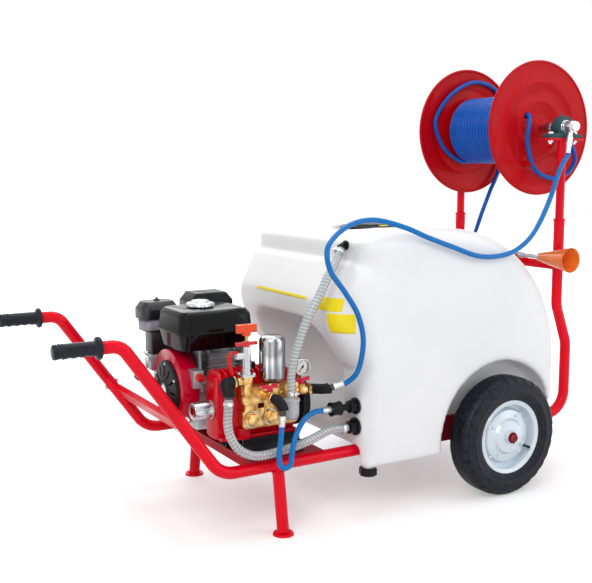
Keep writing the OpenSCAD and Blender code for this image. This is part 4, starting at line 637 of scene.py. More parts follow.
# ---- Tank ----
# A 200 litre tank rotomoulded in white polyethylene: one thick seamless skin with every edge
# rounded by the mould, a hood over the engine and arches for the wheels. It sits on the rails.
polyethylene, tree, out = blank("white_polyethylene")
at = add(tree, "TexCoord", {})
cloud = add(tree, "TexNoise", {"Vector": at.outputs["Object"], "Scale": 3.2, "Detail": 4.0})
tone = add(tree, "ValToRGB", {"Fac": cloud.outputs[0]})
tone.color_ramp.elements[0].position = 0.3
tone.color_ramp.elements[0].color = linear("#e9eaec")
tone.color_ramp.elements[1].position = 0.75
tone.color_ramp.elements[1].color = linear("#f4f4f5")
# the mould's shot-blasted wall leaves a soft ripple of about 5 mm
ripple = add(tree, "TexNoise", {"Vector": at.outputs["Object"], "Scale": 1 / 0.005, "Detail": 2.0})
bump = add(tree, "Bump", {"Height": ripple.outputs[0], "Strength": 0.12, "Distance": 0.0008})
dull = add(tree, "MapRange", {"Value": cloud.outputs[0], "To Min": 0.34, "To Max": 0.46})
skin = add(tree, "BsdfPrincipled", {
    "Base Color": tone.outputs[0], "Roughness": dull.outputs[0], "IOR": 1.51,
    "Sheen Weight": 0.06, "Normal": bump.outputs[0]})
tree.links.new(skin.outputs[0], out.inputs[0])

shape = bmesh.new()
shape.from_mesh(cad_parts["tank"].data)
bmesh.ops.remove_doubles(shape, verts=shape.verts, dist=0.00002)
shape.faces.ensure_lookup_table()
neck_x, neck_z, neck_top, neck_r = 150, 798, 816, 80
ports = ((-283, 328, 10), (-283, 268, 10), (-226, 784, 7))  # y, z and radius of each bore
drain_x, drain_y, drain_r = -62, -312, 12


def on_a_cut_wall(face):
    """True for a face on the neck's outer wall, or in the bore of a port or of the drain."""
    spot = face.calc_center_median() * 1000
    off_neck = math.hypot(spot.x - neck_x, spot.y) - neck_r
    if neck_z - 1 < spot.z < neck_top + 1 and abs(off_neck) < 1:
        return True
    for y, z, r in ports:
        if abs(math.hypot(spot.y - y, spot.z - z) - r) < 0.6 and spot.x < -20:
            return True
    off_drain = math.hypot(spot.x - drain_x, spot.y - drain_y) - drain_r
    return abs(off_drain) < 0.6 and spot.z < 200


# what is kept is every face that can be reached from the rearmost without crossing one of them
kept = {max(shape.faces, key=lambda face: face.calc_center_median().x)}
fresh = list(kept)
while fresh:
    face = fresh.pop()
    for line in face.edges:
        for near in line.link_faces:
            if near not in kept and not on_a_cut_wall(near):
                kept.add(near)
                fresh.append(near)
bmesh.ops.delete(shape, geom=[face for face in shape.faces if face not in kept],
                 context="FACES")
# a well sinks from the foot of the neck's missing wall; the lip above it, the ports and the
# drain are closed flat, and the even skin is then drawn over the outside alone
well_floor, well_taper = 0.688, 0.957
middle_x = neck_x / 1000
mouth = [line for line in shape.edges if line.is_boundary
         and all(abs(v.co.z - neck_z / 1000) < 0.002 for v in line.verts)]
sunk = bmesh.ops.extrude_edge_only(shape, edges=mouth)["geom"]
for v in sunk:
    if isinstance(v, bmesh.types.BMVert):
        v.co.z = well_floor
        v.co.x, v.co.y = middle_x + (v.co.x - middle_x) * well_taper, v.co.y * well_taper
bmesh.ops.holes_fill(shape, edges=[line for line in shape.edges if line.is_boundary], sides=0)
bmesh.ops.triangulate(shape, faces=[face for face in shape.faces if len(face.verts) > 4])
bmesh.ops.recalc_face_normals(shape, faces=shape.faces)
rough_cast = linked("tank_cast", bpy.data.meshes.new("tank_cast"))
shape.to_mesh(rough_cast.data)
shape.free()
grid = rough_cast.modifiers.new("even_skin", "REMESH")
grid.mode = "VOXEL"
grid.voxel_size = 0.0072
grid.use_smooth_shade = True
soften = rough_cast.modifiers.new("mould_radii", "SMOOTH")
soften.factor = 0.6
soften.iterations = 9
moulded_mesh = bpy.data.meshes.new_from_object(
    rough_cast.evaluated_get(bpy.context.evaluated_depsgraph_get()))
bpy.data.objects.remove(rough_cast)
moulded_mesh.name = "tank_moulding"
moulded_mesh.materials.clear()
moulded_mesh.materials.append(polyethylene)
tank = linked("tank_moulding", moulded_mesh)
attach(tank, "cart")
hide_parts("tank")
spun("filler_neck", polyethylene, "cart",
     [(76.8, -112), (74.4, -110), (74.2, 0), (75, 15), (76, 17.8), (79.4, 17.8), (80.1, 16.5),
      (79.2, 14), (80.1, 11.5), (79.2, 9), (80.1, 6.5), (79.2, 4), (80.2, 1), (81, -3),
      (80, -5)], 96, (neck_x, 0, neck_z))

# ---- Plain labels ----
# Blank yellow vinyl patches, rolled on flat: two wrap the near corner of the hood, and a
# narrow one runs along its front edge.
label_vinyl, tree, out = blank("yellow_label_vinyl")
at = add(tree, "TexCoord", {})
cloud = add(tree, "TexNoise", {"Vector": at.outputs["Object"], "Scale": 18.0, "Detail": 3.0})
tone = add(tree, "ValToRGB", {"Fac": cloud.outputs[0]})
tone.color_ramp.elements[0].color = linear("#fbe012")
tone.color_ramp.elements[1].color = linear("#ffec2a")
skin = add(tree, "BsdfPrincipled", {"Base Color": tone.outputs[0], "Roughness": 0.35,
                                    "IOR": 1.5, "Specular IOR Level": 0.2, "Coat Weight": 0.1})
tree.links.new(skin.outputs[0], out.inputs[0])


def label(name, low, high):
    """A thin sheet that follows the tank: its skin between two corners, lifted a little."""
    lifted, thick = 0.9, 0.0004  # mm, metres
    sheet = bmesh.new()
    sheet.from_mesh(moulded_mesh)
    low, high = [Vector(c) / 1000 for c in (low, high)]
    for spot, way in ((low, (1, 0, 0)), (low, (0, 1, 0)), (low, (0, 0, 1)),
                      (high, (-1, 0, 0)), (high, (0, -1, 0)), (high, (0, 0, -1))):
        bmesh.ops.bisect_plane(sheet, geom=sheet.verts[:] + sheet.edges[:] + sheet.faces[:],
                               plane_co=spot, plane_no=way, clear_inner=True)
    bmesh.ops.delete(sheet, geom=[f for f in sheet.faces if f.normal.x > 0.2], context="FACES")
    bmesh.ops.delete(sheet, geom=[v for v in sheet.verts if not v.link_faces], context="VERTS")
    for v in sheet.verts:
        v.co += v.normal * lifted / 1000
    bmesh.ops.solidify(sheet, geom=sheet.faces[:], thickness=thick)
    for face in sheet.faces:
        face.smooth = True
    mesh = bpy.data.meshes.new(name)
    sheet.to_mesh(mesh)
    sheet.free()
    mesh.materials.append(label_vinyl)
    piece = linked(name, mesh)
    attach(piece, "cart")


label("hood_label_upper", (-190, -304, 606), (-120, -214, 642))
label("hood_label_lower", (-190, -330, 545), (-118, -262, 600))
label("hood_edge_label", (-190, -150, 624), (-140, 150, 633))

# ---- Lid, strainer basket and drain ----
# A ribbed black polypropylene screw lid over a basket of yellow mesh plastic, and a small
# black screw cap under the near front corner.


def moulded(name, colour, deep, rough, grain, coat=0.0):
    """Injection-moulded plastic or rubber: slightly mottled, with a spark-eroded grain."""
    made, tree, out = blank(name)
    at = add(tree, "TexCoord", {})
    cloud = add(tree, "TexNoise", {"Vector": at.outputs["Object"], "Scale": 30.0, "Detail": 5.0})
    film = add(tree, "Mix", {0: cloud.outputs[0], 6: linear(colour), 7: linear(deep)},
               data_type="RGBA")
    dull = add(tree, "MapRange", {"Value": cloud.outputs[0], "To Min": rough - 0.06,
                                  "To Max": rough + 0.1})
    fine = add(tree, "TexNoise", {"Vector": at.outputs["Object"], "Scale": 1000 / grain})
    bump = add(tree, "Bump", {"Height": fine.outputs[0], "Strength": 0.3, "Distance": 0.0003})
    skin = add(tree, "BsdfPrincipled", {
        "Base Color": film.outputs[2], "Roughness": dull.outputs[0], "IOR": 1.5,
        "Specular IOR Level": 0.14, "Coat Weight": coat, "Coat Roughness": 0.12,
        "Normal": bump.outputs[0]})
    tree.links.new(skin.outputs[0], out.inputs[0])
    return made


black_plastic = moulded("black_polypropylene", "#131418", "#1c1d21", 0.36, 1.5)
finish_node("tank_lid", black_plastic, edge=1.2)
finish_node("drain_cap", black_plastic, edge=0.8)
finish_node("strainer_basket", moulded("yellow_polypropylene", "#e2b82c", "#cfa31c", 0.38, 2),
            edge=0.6)


def rounded_block(size, radius):
    """A small block of the given size in mm with all its edges rounded."""
    shape = bmesh.new()
    made = bmesh.ops.create_cube(shape, size=1)["verts"]
    bmesh.ops.transform(shape, matrix=Matrix.Diagonal((*size, 1)), verts=made)
    bmesh.ops.bevel(shape, geom=shape.edges[:], offset=radius, segments=3, profile=0.5,
                    affect="EDGES", material=-1)
    return shape


placed("lid_tab", rounded_block((26, 14, 3.4), 1.3), label_vinyl, "lid",
       (neck_x, -76, 824))
spun("lid_cap_ring", black_plastic, "lid",
     [(58, -1), (58, 1.4), (59.6, 2.4), (62, 2.4), (63.4, 1.2), (63.4, -1)], 72,
     (neck_x, 0, 822))

# ---- Tank fittings ----
# Black nylon bulkhead fittings screwed into moulded bosses; the hoses push over ribbed tails
# and are held by zinc worm-drive clamps.
finish_node("tank_fittings", moulded("black_nylon", "#111215", "#1a1b1f", 0.32, 1.2), edge=0.8)


def clamp(name, at, way, r, turn):
    """A worm-drive hose clamp: a slotted band with its screw housing on one side."""
    outline = [(r, -4.5), (r + 1.1, -4.5), (r + 1.5, -3.4), (r + 1.1, -2.4), (r + 1.1, 2.4),
               (r + 1.5, 3.4), (r + 1.1, 4.5), (r, 4.5)]
    shape = turned(outline, 48, closed=True)
    house = bmesh.ops.create_cube(shape, size=1)["verts"]
    bmesh.ops.transform(shape, verts=house, matrix=Matrix.Translation((r + 3, 0, 0))
                        @ Matrix.Diagonal((4.4, 11, 10.5, 1)))
    bmesh.ops.bevel(shape, geom=list({e for v in house for e in v.link_edges}), offset=1,
                    segments=2, profile=0.5, affect="EDGES", material=-1)
    screw = bmesh.ops.create_cone(shape, cap_ends=True, segments=6, radius1=3.1, radius2=3.1,
                                  depth=9)["verts"]
    bmesh.ops.transform(shape, verts=screw, matrix=Matrix.Translation((r + 3.4, 8, 0))
                        @ Matrix.Rotation(math.pi / 2, 4, "X"))
    bmesh.ops.rotate(shape, verts=shape.verts, matrix=Matrix.Rotation(turn, 3, "Z"))
    placed(name, shape, zinc_plate, "cart", at, way, 30)


def ferrule(name, at, way, r, body="cart", length=26):
    """A pressed steel ferrule: a collar, then three crimps into the hose."""
    outline = [(r - 1.2, -3), (r + 1.6, -3), (r + 2.4, -2), (r + 2.4, 3), (r + 1.2, 4)]
    for k in range(3):
        z = 6 + k * (length - 8) / 3
        outline += [(r + 1.9, z), (r + 1.9, z + 2.4), (r + 0.6, z + 3.4), (r + 0.6, z + 4.6)]
    outline += [(r + 1.9, length - 2), (r + 1.5, length), (r - 0.4, length)]
    spun(name, zinc_plate, body, outline, 32, at, way, 30)


clear_r, blue_r = clear_across / 2, blue_across / 2
clamp("lower_port_clamp", (-130, -283, 268), (-1, 0, 0), clear_r, 2.4)
clamp("barb_clamp", (barb[0] - 8, barb[1] - 5, barb[2] - 9), barb_way, clear_r, 1.0)
clamp("cup_clamp", (cup_x, cup_y, 388), (0, 0, 1), clear_r, -1.2)
clamp("suction_clamp", (-483.4, -267.6, 380), suction_way, clear_r, 0.4)
ferrule("upper_port_ferrule", upper_port, (-1, 0, 0), blue_r)
ferrule("agitator_ferrule", by_pass, (-0.14, -0.1, -1), blue_r)
ferrule("pressure_ferrule", outlet, outlet_way, blue_r)
ferrule("swivel_ferrule", swivel_end, swivel_way, blue_r)

# ---- Hose reel ----
# Two pressed steel discs on a welded drum, stove enamelled in a deep glossy red; the rings
# pressed into them stiffen the sheet, and the rim is rolled over a wire.
gloss_red = enamel("gloss_red_stove_enamel", "#c80714", "#b00510", 0.34, coat=0.06, peel=0.15)
finish_node("reel_discs", gloss_red, edge=0.5, angle=50)
finish_node("reel_drum", gloss_red, edge=0.5, angle=50)

# ---- Reel bearings ----
# Cast-iron pillow blocks painted dark green, each with a ground steel insert; they are
# bolted to a plate on each post.
finish_node("pillow_blocks", enamel("green_painted_cast_iron", "#35575a", "#274346", 0.42,
                                    coat=0.2, peel=0.9), edge=1.2)


def metal(name, colour, deep, rough, grit, depth=0.0001, metallic=1.0):
    """A bare or plated metal: its polish varies a little, over a grit of scratches or cast."""
    made, tree, out = blank(name)
    at = add(tree, "TexCoord", {})
    cloud = add(tree, "TexNoise", {"Vector": at.outputs["Object"], "Scale": 60.0, "Detail": 6.0})
    film = add(tree, "Mix", {0: cloud.outputs[0], 6: linear(colour), 7: linear(deep)},
               data_type="RGBA")
    dull = add(tree, "MapRange", {"Value": cloud.outputs[0], "To Min": rough * 0.7,
                                  "To Max": rough * 1.35})
    fine = add(tree, "TexNoise", {"Vector": at.outputs["Object"], "Scale": 1000 / grit,
                                  "Detail": 3.0})
    bump = add(tree, "Bump", {"Height": fine.outputs[0], "Strength": 0.35, "Distance": depth})
    skin = add(tree, "BsdfPrincipled", {"Base Color": film.outputs[2], "Metallic": metallic,
                                        "Roughness": dull.outputs[0],
                                        "Normal": bump.outputs[0]})
    tree.links.new(skin.outputs[0], out.inputs[0])
    return made


turned_steel = metal("turned_steel", "#d2d5d8", "#b2b6ba", 0.24, 0.8)
bearing_y, insert_face = 246, 17.4
for side, word in both_sides:
    for face, name in ((1, "outer"), (-1, "inner")):
        way = "Y" if side * face > 0 else "-Y"
        spun(f"bearing_insert_{word}_{name}", turned_steel, "cart",
             [(12.9, -3), (12.9, 1.2), (14, 2.2), (17.5, 2.2), (18.4, 1.2), (18.4, -0.6),
              (21, -1), (22.5, -3)], 48,
             (reel_x, side * (bearing_y + face * insert_face), reel_z), way)

# ---- Reel shaft, swivel and crank ----
# A turned steel shaft carries the reel; the hose enters through a zinc-plated swivel at one
# end, and a flat steel crank with a turning black knob winds it at the other.
finish_node("reel_shaft", turned_steel, edge=0.6)
finish_node("swivel", zinc_plate, edge=0.8)
finish_node("crank_knob", moulded("black_phenolic", "#141416", "#1e1e21", 0.22, 2.5, coat=0.4),
            edge=0.8)
ferrule("disc_hose_ferrule", disc_end, (0.85, 0, -0.43), 7.4, body="reel", length=22)

# ---- Lance ----
# A spray lance rests in two hooks on the rear bar: a black trigger body and sleeve, a bright
# steel tube, and a translucent orange wind shroud round the nozzle.
lance_mix, tree, out = blank("lance_nylon_steel_and_shroud")
tube_from, shroud_from = -0.02, -0.2155  # metres along Y, where steel and shroud take over
at = add(tree, "TexCoord", {})
split = add(tree, "SeparateXYZ", {0: at.outputs["Object"]})
cloud = add(tree, "TexNoise", {"Vector": at.outputs["Object"], "Scale": 70.0, "Detail": 4.0})
nylon = add(tree, "Mix", {0: cloud.outputs[0], 6: linear("#1a1a1d"), 7: linear("#2a2a2e")},
            data_type="RGBA")
black = add(tree, "BsdfPrincipled", {"Base Color": nylon.outputs[2], "Roughness": 0.42,
                                     "IOR": 1.5})
bright = add(tree, "Mix", {0: cloud.outputs[0], 6: linear("#c9ccd0"), 7: linear("#a9adb2")},
             data_type="RGBA")
steel = add(tree, "BsdfPrincipled", {"Base Color": bright.outputs[2], "Metallic": 1.0,
                                     "Roughness": 0.25})
is_steel = add(tree, "Math", {0: split.outputs[1], 1: tube_from}, operation="LESS_THAN")
both = add(tree, "MixShader", {0: is_steel.outputs[0], 1: black.outputs[0],
                               2: steel.outputs[0]})
amber = add(tree, "Mix", {0: cloud.outputs[0], 6: linear("#fa7a22"), 7: linear("#ff9440")},
            data_type="RGBA")
orange = add(tree, "BsdfPrincipled", {"Base Color": amber.outputs[2], "Roughness": 0.28,
                                      "IOR": 1.49, "Coat Weight": 0.3,
                                      "Transmission Weight": 0.35})
is_shroud = add(tree, "Math", {0: split.outputs[1], 1: shroud_from}, operation="LESS_THAN")
all_three = add(tree, "MixShader", {0: is_shroud.outputs[0], 1: both.outputs[0],
                                    2: orange.outputs[0]})
tree.links.new(all_three.outputs[0], out.inputs[0])
finish_node("spray_gun", lance_mix, edge=0.8)
finish_node("gun_trigger", moulded("black_acetal", "#131315", "#1d1d20", 0.3, 1.5), edge=0.7)
ferrule("lance_ferrule", lance_end, (0, 0, -1), 7.3)
spun("lance_nut", metal("cast_brass", "#c89a4a", "#a87c34", 0.3, 1.2), "cart",
     [(6.7, 0), (11.5, 0), (12.5, 1), (12.5, 12), (11.5, 13), (6.7, 13)], 6, (684, 152, 712),
     "-Y", 20)

# ---- Engine base and block ----
# A small air-cooled petrol engine: a die-cast aluminium block with a finned cylinder, bolted
# to two folded steel channels painted black.
finish_node("engine_base", enamel("black_chassis_enamel", "#18191c", "#232428", 0.35), edge=0.8)
finish_node("engine_block", metal("die_cast_aluminium", "#bfc3c7", "#9fa4a9", 0.42, 1.0,
                                  0.0003, metallic=0.6), edge=0.7)
bolt_x, bolt_y, head_top, along, across = -428, -20, 470, 84, 95
for k in range(4):  # head bolts between the fins
    spot = (bolt_x + along * (k % 2), bolt_y + across * (k // 2), head_top)
    spun(f"head_bolt_{k}", zinc_plate, "cart",
         [(6.5, -1), (6.5, 0.8), (5.2, 1), (5.2, 6), (4.4, 6.6), (0, 6.6)], 6, spot, "Z", 20)

# ---- Fan housing and recoil starter ----
# A deep-drawn steel shroud in glossy crimson blows air over the fins; a black plastic recoil
# starter with slots and six screws closes its face.
finish_node("fan_housing", enamel("crimson_stove_enamel", "#d20432", "#b60228", 0.2, coat=0.2,
                                  peel=0.1), edge=5.0, angle=60)
finish_node("recoil_starter", moulded("black_glass_nylon", "#16171a", "#222327", 0.38, 1.4),
            edge=0.8)
recoil_y, recoil_z, screw_r = 15, 368, 76
recoil_face, hub_face = -545.5, -553
for k in range(6):
    turn = math.pi / 6 + k * math.pi / 3
    spun(f"recoil_screw_{k}", zinc_plate, "cart",
         [(5.6, -1), (5.6, 0.6), (4.2, 1), (3.9, 3), (3, 3.6), (1.4, 3.6), (1.3, 2.6), (0, 2.6)],
         20, (recoil_face, recoil_y + screw_r * math.cos(turn),
              recoil_z + screw_r * math.sin(turn)), "-X")
spun("recoil_hub", turned_steel, "cart",
     [(20, -1), (20, 0.6), (18.4, 1.6), (8, 1.6), (7.4, 2.6), (6.6, 3.2), (0, 3.2)], 40,
     (hub_face, recoil_y, recoil_z), "-X")
finish_node("starter_grip", moulded("black_rubber", "#121214", "#1c1c1f", 0.42, 1.5), edge=2.0)

# ---- Fuel tank ----
# Two drawn steel halves seam-welded round the middle and sprayed glossy black, with a bright
# plated cap.
finish_node("fuel_tank", enamel("gloss_black_enamel", "#050608", "#0a0b0d", 0.14, coat=0.24,
                                peel=0.08), edge=1.6, angle=24)
cap_steel = metal("plated_cap_steel", "#dfe1e4", "#c3c6ca", 0.2, 2.0)
finish_node("fuel_cap", cap_steel, edge=1.0)
shape = bmesh.new()
ribs = 24
for k in range(ribs):  # thumb ribs round the cap
    turn = 2 * math.pi * k / ribs
    made = bmesh.ops.create_cube(shape, size=1)["verts"]
    bmesh.ops.transform(shape, verts=made, matrix=Matrix.Rotation(turn, 4, "Z")
                        @ Matrix.Translation((40, 0, 5.8)) @ Matrix.Diagonal((1.8, 3.2, 5.6, 1)))
placed("fuel_cap_ribs", shape, cap_steel, "fuel_lid", (-462, -48, 612.5))

# ---- Air cleaner and silencer ----
# The filter's black plastic canister is held by a small nut; the silencer sits in a pressed
# and slotted steel guard, painted heat-resisting black.
filter_black, tree, out = blank("black_filter_plastic")
at = add(tree, "TexCoord", {})
split = add(tree, "SeparateXYZ", {0: at.outputs["Object"]})
cloud = add(tree, "TexNoise", {"Vector": at.outputs["Object"], "Scale": 45.0, "Detail": 4.0})
film = add(tree, "Mix", {0: cloud.outputs[0], 6: linear("#121316"), 7: linear("#1c1d21")},
           data_type="RGBA")
# the filter's pale foam stands between canister and lid, in a band of 32 mm
foam_z, foam_half = 0.5405, 0.016
seal = add(tree, "Math", {0: split.outputs[2], 1: foam_z, 2: foam_half}, operation="COMPARE")
toned = add(tree, "Mix", {0: seal.outputs[0], 6: film.outputs[2], 7: linear("#8d8c98")},
            data_type="RGBA")
fine = add(tree, "TexNoise", {"Vector": at.outputs["Object"], "Scale": 700.0})
bump = add(tree, "Bump", {"Height": fine.outputs[0], "Strength": 0.3, "Distance": 0.0003})
skin = add(tree, "BsdfPrincipled", {"Base Color": toned.outputs[2], "Roughness": 0.36,
                                    "IOR": 1.5, "Normal": bump.outputs[0]})
tree.links.new(skin.outputs[0], out.inputs[0])
finish_node("air_cleaner", filter_black, edge=1.8)
finish_node("muffler_guard", enamel("heat_resisting_black", "#17181a", "#232426", 0.42,
                                    coat=0.3, peel=0.5), edge=0.8)

# ---- Controls ----
# Choke and throttle levers pressed from zinc-plated strip, and a rotary stop switch moulded in
# red acetal, with a bar across its face for finger and thumb.
finish_node("choke_lever", zinc_plate, edge=0.5)
finish_node("throttle_lever", zinc_plate, edge=0.5)
red_acetal = moulded("red_acetal", "#dd1c20", "#c5161a", 0.3, 2.0, coat=0.3)
finish_node("engine_switch", red_acetal, edge=1.0)
placed("switch_bar", rounded_block((21, 7, 5), 1.2), red_acetal, "switch",
       (-498, -128, 424), "-Y")

# ---- Belt drive ----
# Cast pulleys on the engine's and the pump's shafts, joined by a rubber V-belt whose fabric
# jacket has worn matt.
finish_node("engine_shaft", metal("grey_cast_iron", "#8f9498", "#74797e", 0.4, 1.2), edge=0.6)
finish_node("pump_shaft", enamel("black_pulley_enamel", "#1c1d20", "#2a2b2f", 0.38), edge=0.6)
finish_node("drive_belt", moulded("black_belt_rubber", "#1a1a1c", "#29292c", 0.6, 2.2), edge=0.6)

# ---- Pump crankcase ----
# A three-plunger pump: a finned cast-iron crankcase in glossy red, with its shaft end under a
# bright steel sleeve and an oil filler on top.
finish_node("pump_crankcase", enamel("bright_red_engine_enamel", "#dd0320", "#c0021a", 0.25,
                                     coat=0.2), edge=1.0)
spun("shaft_end_cover", turned_steel, "cart",
     [(23.4, -2), (26, -2), (26.4, 0), (26.4, 5), (25, 6), (25, 44), (24.4, 46), (24.4, 54),
      (23, 57), (12, 58), (9.6, 58), (9.6, 57)], 48, (-487, -168, 345), "-X")
spun("oil_filler", black_plastic, "cart",
     [(11, -4), (11, 4), (13, 4.6), (13, 12), (12, 13.4), (5, 13.8), (4.4, 16), (0, 16)], 24,
     (-366, -172, 452), "Z")
spun("oil_glass", turned_steel, "cart",
     [(13, -2), (13, 1.6), (11.6, 2.6), (9.6, 2.6), (9, 0.6), (0, 0.6)], 32,
     (-460, -204.6, 300), "-Y")

# ---- Pump head ----
# The head, valve caps and cocks are hot-pressed brass, with the pinkish bloom and darker
# hollows that such castings have after tumbling.
brass, tree, out = blank("tumbled_brass")
at = add(tree, "TexCoord", {})
cloud = add(tree, "TexNoise", {"Vector": at.outputs["Object"], "Scale": 70.0, "Detail": 6.0})
tone = add(tree, "ValToRGB", {"Fac": cloud.outputs[0]})
tone.color_ramp.elements[0].position = 0.35
tone.color_ramp.elements[0].color = linear("#b98443")
tone.color_ramp.elements[1].position = 0.62
tone.color_ramp.elements[1].color = linear("#efc987")
dull = add(tree, "MapRange", {"Value": cloud.outputs[0], "To Min": 0.42, "To Max": 0.22})
fine = add(tree, "TexNoise", {"Vector": at.outputs["Object"], "Scale": 1 / 0.0022, "Detail": 3.0})
bump = add(tree, "Bump", {"Height": fine.outputs[0], "Strength": 0.4, "Distance": 0.0003})
skin = add(tree, "BsdfPrincipled", {"Base Color": tone.outputs[0], "Metallic": 1.0,
                                    "Roughness": dull.outputs[0], "Normal": bump.outputs[0]})
tree.links.new(skin.outputs[0], out.inputs[0])
finish_node("pump_manifold", brass, edge=1.4)
plungers, cap_face, cap_z = (-404, -344), -247, 324
for k, x in enumerate(plungers):
    spun(f"valve_cap_washer_{k}", turned_steel, "cart",
         [(17.5, 0), (22, 0), (22.6, 0.8), (22.6, 2.2), (17.5, 2.2)], 36, (x, cap_face, cap_z),
         "-Y")

# ---- Air chamber ----
# A deep-drawn steel bell with a bright chrome skin; the dark vertical streaks down its sides
# are painted reflections. Air trapped in it evens out the plungers' pulses.
chrome, tree, out = blank("bright_chrome")
at = add(tree, "TexCoord", {})
# painted reflections: noise stretched up the bell gives dark and light vertical bands in the
# colour
stretched_upright = add(tree, "VectorMath", {0: at.outputs["Object"], 1: (1, 1, 0.04)},
            operation="MULTIPLY")
reflection_streaks = add(tree, "TexNoise", {"Vector": stretched_upright.outputs[0], "Scale": 1 / 0.011, "Detail": 2.0})
reflection_bands = add(tree, "MapRange", {"Value": reflection_streaks.outputs[0], "From Min": 0.36, "From Max": 0.62})
tone = add(tree, "Mix", {0: reflection_bands.outputs[0], 6: linear("#6c6d70"), 7: linear("#c4c6c9")},
           data_type="RGBA")
dull = add(tree, "MapRange", {"Value": reflection_streaks.outputs[0], "To Min": 0.14, "To Max": 0.06})
skin = add(tree, "BsdfPrincipled", {"Base Color": tone.outputs[2], "Metallic": 1.0,
                                    "Roughness": dull.outputs[0]})
tree.links.new(skin.outputs[0], out.inputs[0])
finish_node("air_chamber", chrome, edge=1.2)
spun("chamber_nut", brass, "cart",
     [(14.2, 0), (20, 0), (21, 1), (21, 6.4), (20, 7.4), (14.2, 7.4)], 6,
     (-341, -250, 411), "Z", 20)

# ---- Pressure regulator ----
# A zinc cylinder over the head holds the spring; above it stand a red wing nut, a brass
# stem and an orange-red wing knob, and a red lever hangs from its clevis.
regulator_metals, tree, out = blank("zinc_red_and_brass")
cylinder_top, nut_top = 0.5258, 0.5402  # metres, where the nut and the stem take over
at = add(tree, "TexCoord", {})
split = add(tree, "SeparateXYZ", {0: at.outputs["Object"]})
cloud = add(tree, "TexNoise", {"Vector": at.outputs["Object"], "Scale": 90.0, "Detail": 4.0})
nut_red = add(tree, "BsdfPrincipled", {"Base Color": linear("#cf2027"), "Roughness": 0.34,
                                       "IOR": 1.5})
zinc_tone = add(tree, "Mix", {0: cloud.outputs[0], 6: linear("#d2d5d9"), 7: linear("#b3b7bc")},
                data_type="RGBA")
zinc_part = add(tree, "BsdfPrincipled", {"Base Color": zinc_tone.outputs[2], "Metallic": 1.0,
                                         "Roughness": 0.24})
stem_tone = add(tree, "Mix", {0: cloud.outputs[0], 6: linear("#d9ab5e"), 7: linear("#b98a42")},
                data_type="RGBA")
stem_part = add(tree, "BsdfPrincipled", {"Base Color": stem_tone.outputs[2], "Metallic": 1.0,
                                         "Roughness": 0.25})
above_cylinder = add(tree, "Math", {0: split.outputs[2], 1: cylinder_top},
                     operation="GREATER_THAN")
above_nut = add(tree, "Math", {0: split.outputs[2], 1: nut_top}, operation="GREATER_THAN")
lower = add(tree, "MixShader", {0: above_cylinder.outputs[0], 1: zinc_part.outputs[0],
                                2: nut_red.outputs[0]})
whole = add(tree, "MixShader", {0: above_nut.outputs[0], 1: lower.outputs[0],
                                2: stem_part.outputs[0]})
tree.links.new(whole.outputs[0], out.inputs[0])
finish_node("pressure_regulator", regulator_metals, edge=0.7)
finish_node("regulator_knob", moulded("orange_nylon", "#ee5423", "#dd471b", 0.3, 2.0, coat=0.3),
            edge=3.2)
finish_node("regulator_lever", enamel("red_lever_paint", "#dc2a25", "#c3201d", 0.3), edge=0.8)
spring_x, spring_y, spring_low, spring_tall, spring_r = -417, -245, 462, 40, 12.2
spring_points = 96  # six turns of sixteen
spring = [Vector((spring_x + spring_r * math.cos(a * math.pi / 8),
                  spring_y + spring_r * math.sin(a * math.pi / 8),
                  spring_low + spring_tall * a / spring_points)) / 1000
          for a in range(spring_points + 1)]
coil = hose("regulator_spring", spring, 2.2, turned_steel, sides=2)
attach(coil, "cart")

# ---- Pressure gauge ----
# A black steel case with a white enamelled dial: marks every thirty degrees, a red arc at the
# top of the range and a black needle, under a bezel.
finish_node("pressure_gauge", moulded("black_gauge_case", "#17181a", "#242528", 0.3, 1.5,
                                      coat=0.4), edge=0.6)
finish_node("gauge_needle", enamel("black_needle_paint", "#101012", "#1a1a1d", 0.35), edge=0.15)
gauge_x, gauge_z = -241, 450
marks_in, marks_out, dial_end = 0.0145, 0.0185, 138.0  # metres from the middle, and degrees
mark_half, ink_half = 15.0, 1.6  # degrees: half the pitch of the marks, half a mark
dial_print, tree, out = blank("white_enamelled_dial")
at = add(tree, "TexCoord", {})
moved = add(tree, "Mapping", {"Vector": at.outputs["Object"],
                              "Location": (-gauge_x / 1000, 0, -gauge_z / 1000)})
split = add(tree, "SeparateXYZ", {0: moved.outputs[0]})
turn = add(tree, "Math", {0: split.outputs[0], 1: split.outputs[2]}, operation="ARCTAN2")
degrees = add(tree, "Math", {0: turn.outputs[0], 1: 180 / math.pi}, operation="MULTIPLY")
every = add(tree, "Math", {0: degrees.outputs[0], 1: mark_half}, operation="PINGPONG")
stroke = add(tree, "Math", {0: every.outputs[0], 1: ink_half}, operation="LESS_THAN")
flat = add(tree, "CombineXYZ", {0: split.outputs[0], 1: 0.0, 2: split.outputs[2]})
away = add(tree, "VectorMath", {0: flat.outputs[0]}, operation="LENGTH")
outside = add(tree, "Math", {0: away.outputs["Value"], 1: marks_in}, operation="GREATER_THAN")
rim = add(tree, "Math", {0: away.outputs["Value"], 1: marks_out}, operation="LESS_THAN")
ring = add(tree, "Math", {0: outside.outputs[0], 1: rim.outputs[0]}, operation="MULTIPLY")
open_arc = add(tree, "Math", {0: degrees.outputs[0]}, operation="ABSOLUTE")
in_scale = add(tree, "Math", {0: open_arc.outputs[0], 1: dial_end}, operation="LESS_THAN")
marks = add(tree, "Math", {0: stroke.outputs[0], 1: ring.outputs[0]}, operation="MULTIPLY")
marks = add(tree, "Math", {0: marks.outputs[0], 1: in_scale.outputs[0]}, operation="MULTIPLY")
inked = add(tree, "Mix", {0: marks.outputs[0], 6: linear("#f3f3ef"), 7: linear("#1c1c1e")},
            data_type="RGBA")
red_middle, red_half = 95.0, 40.0  # degrees
high = add(tree, "Math", {0: degrees.outputs[0], 1: red_middle, 2: red_half},
           operation="COMPARE")
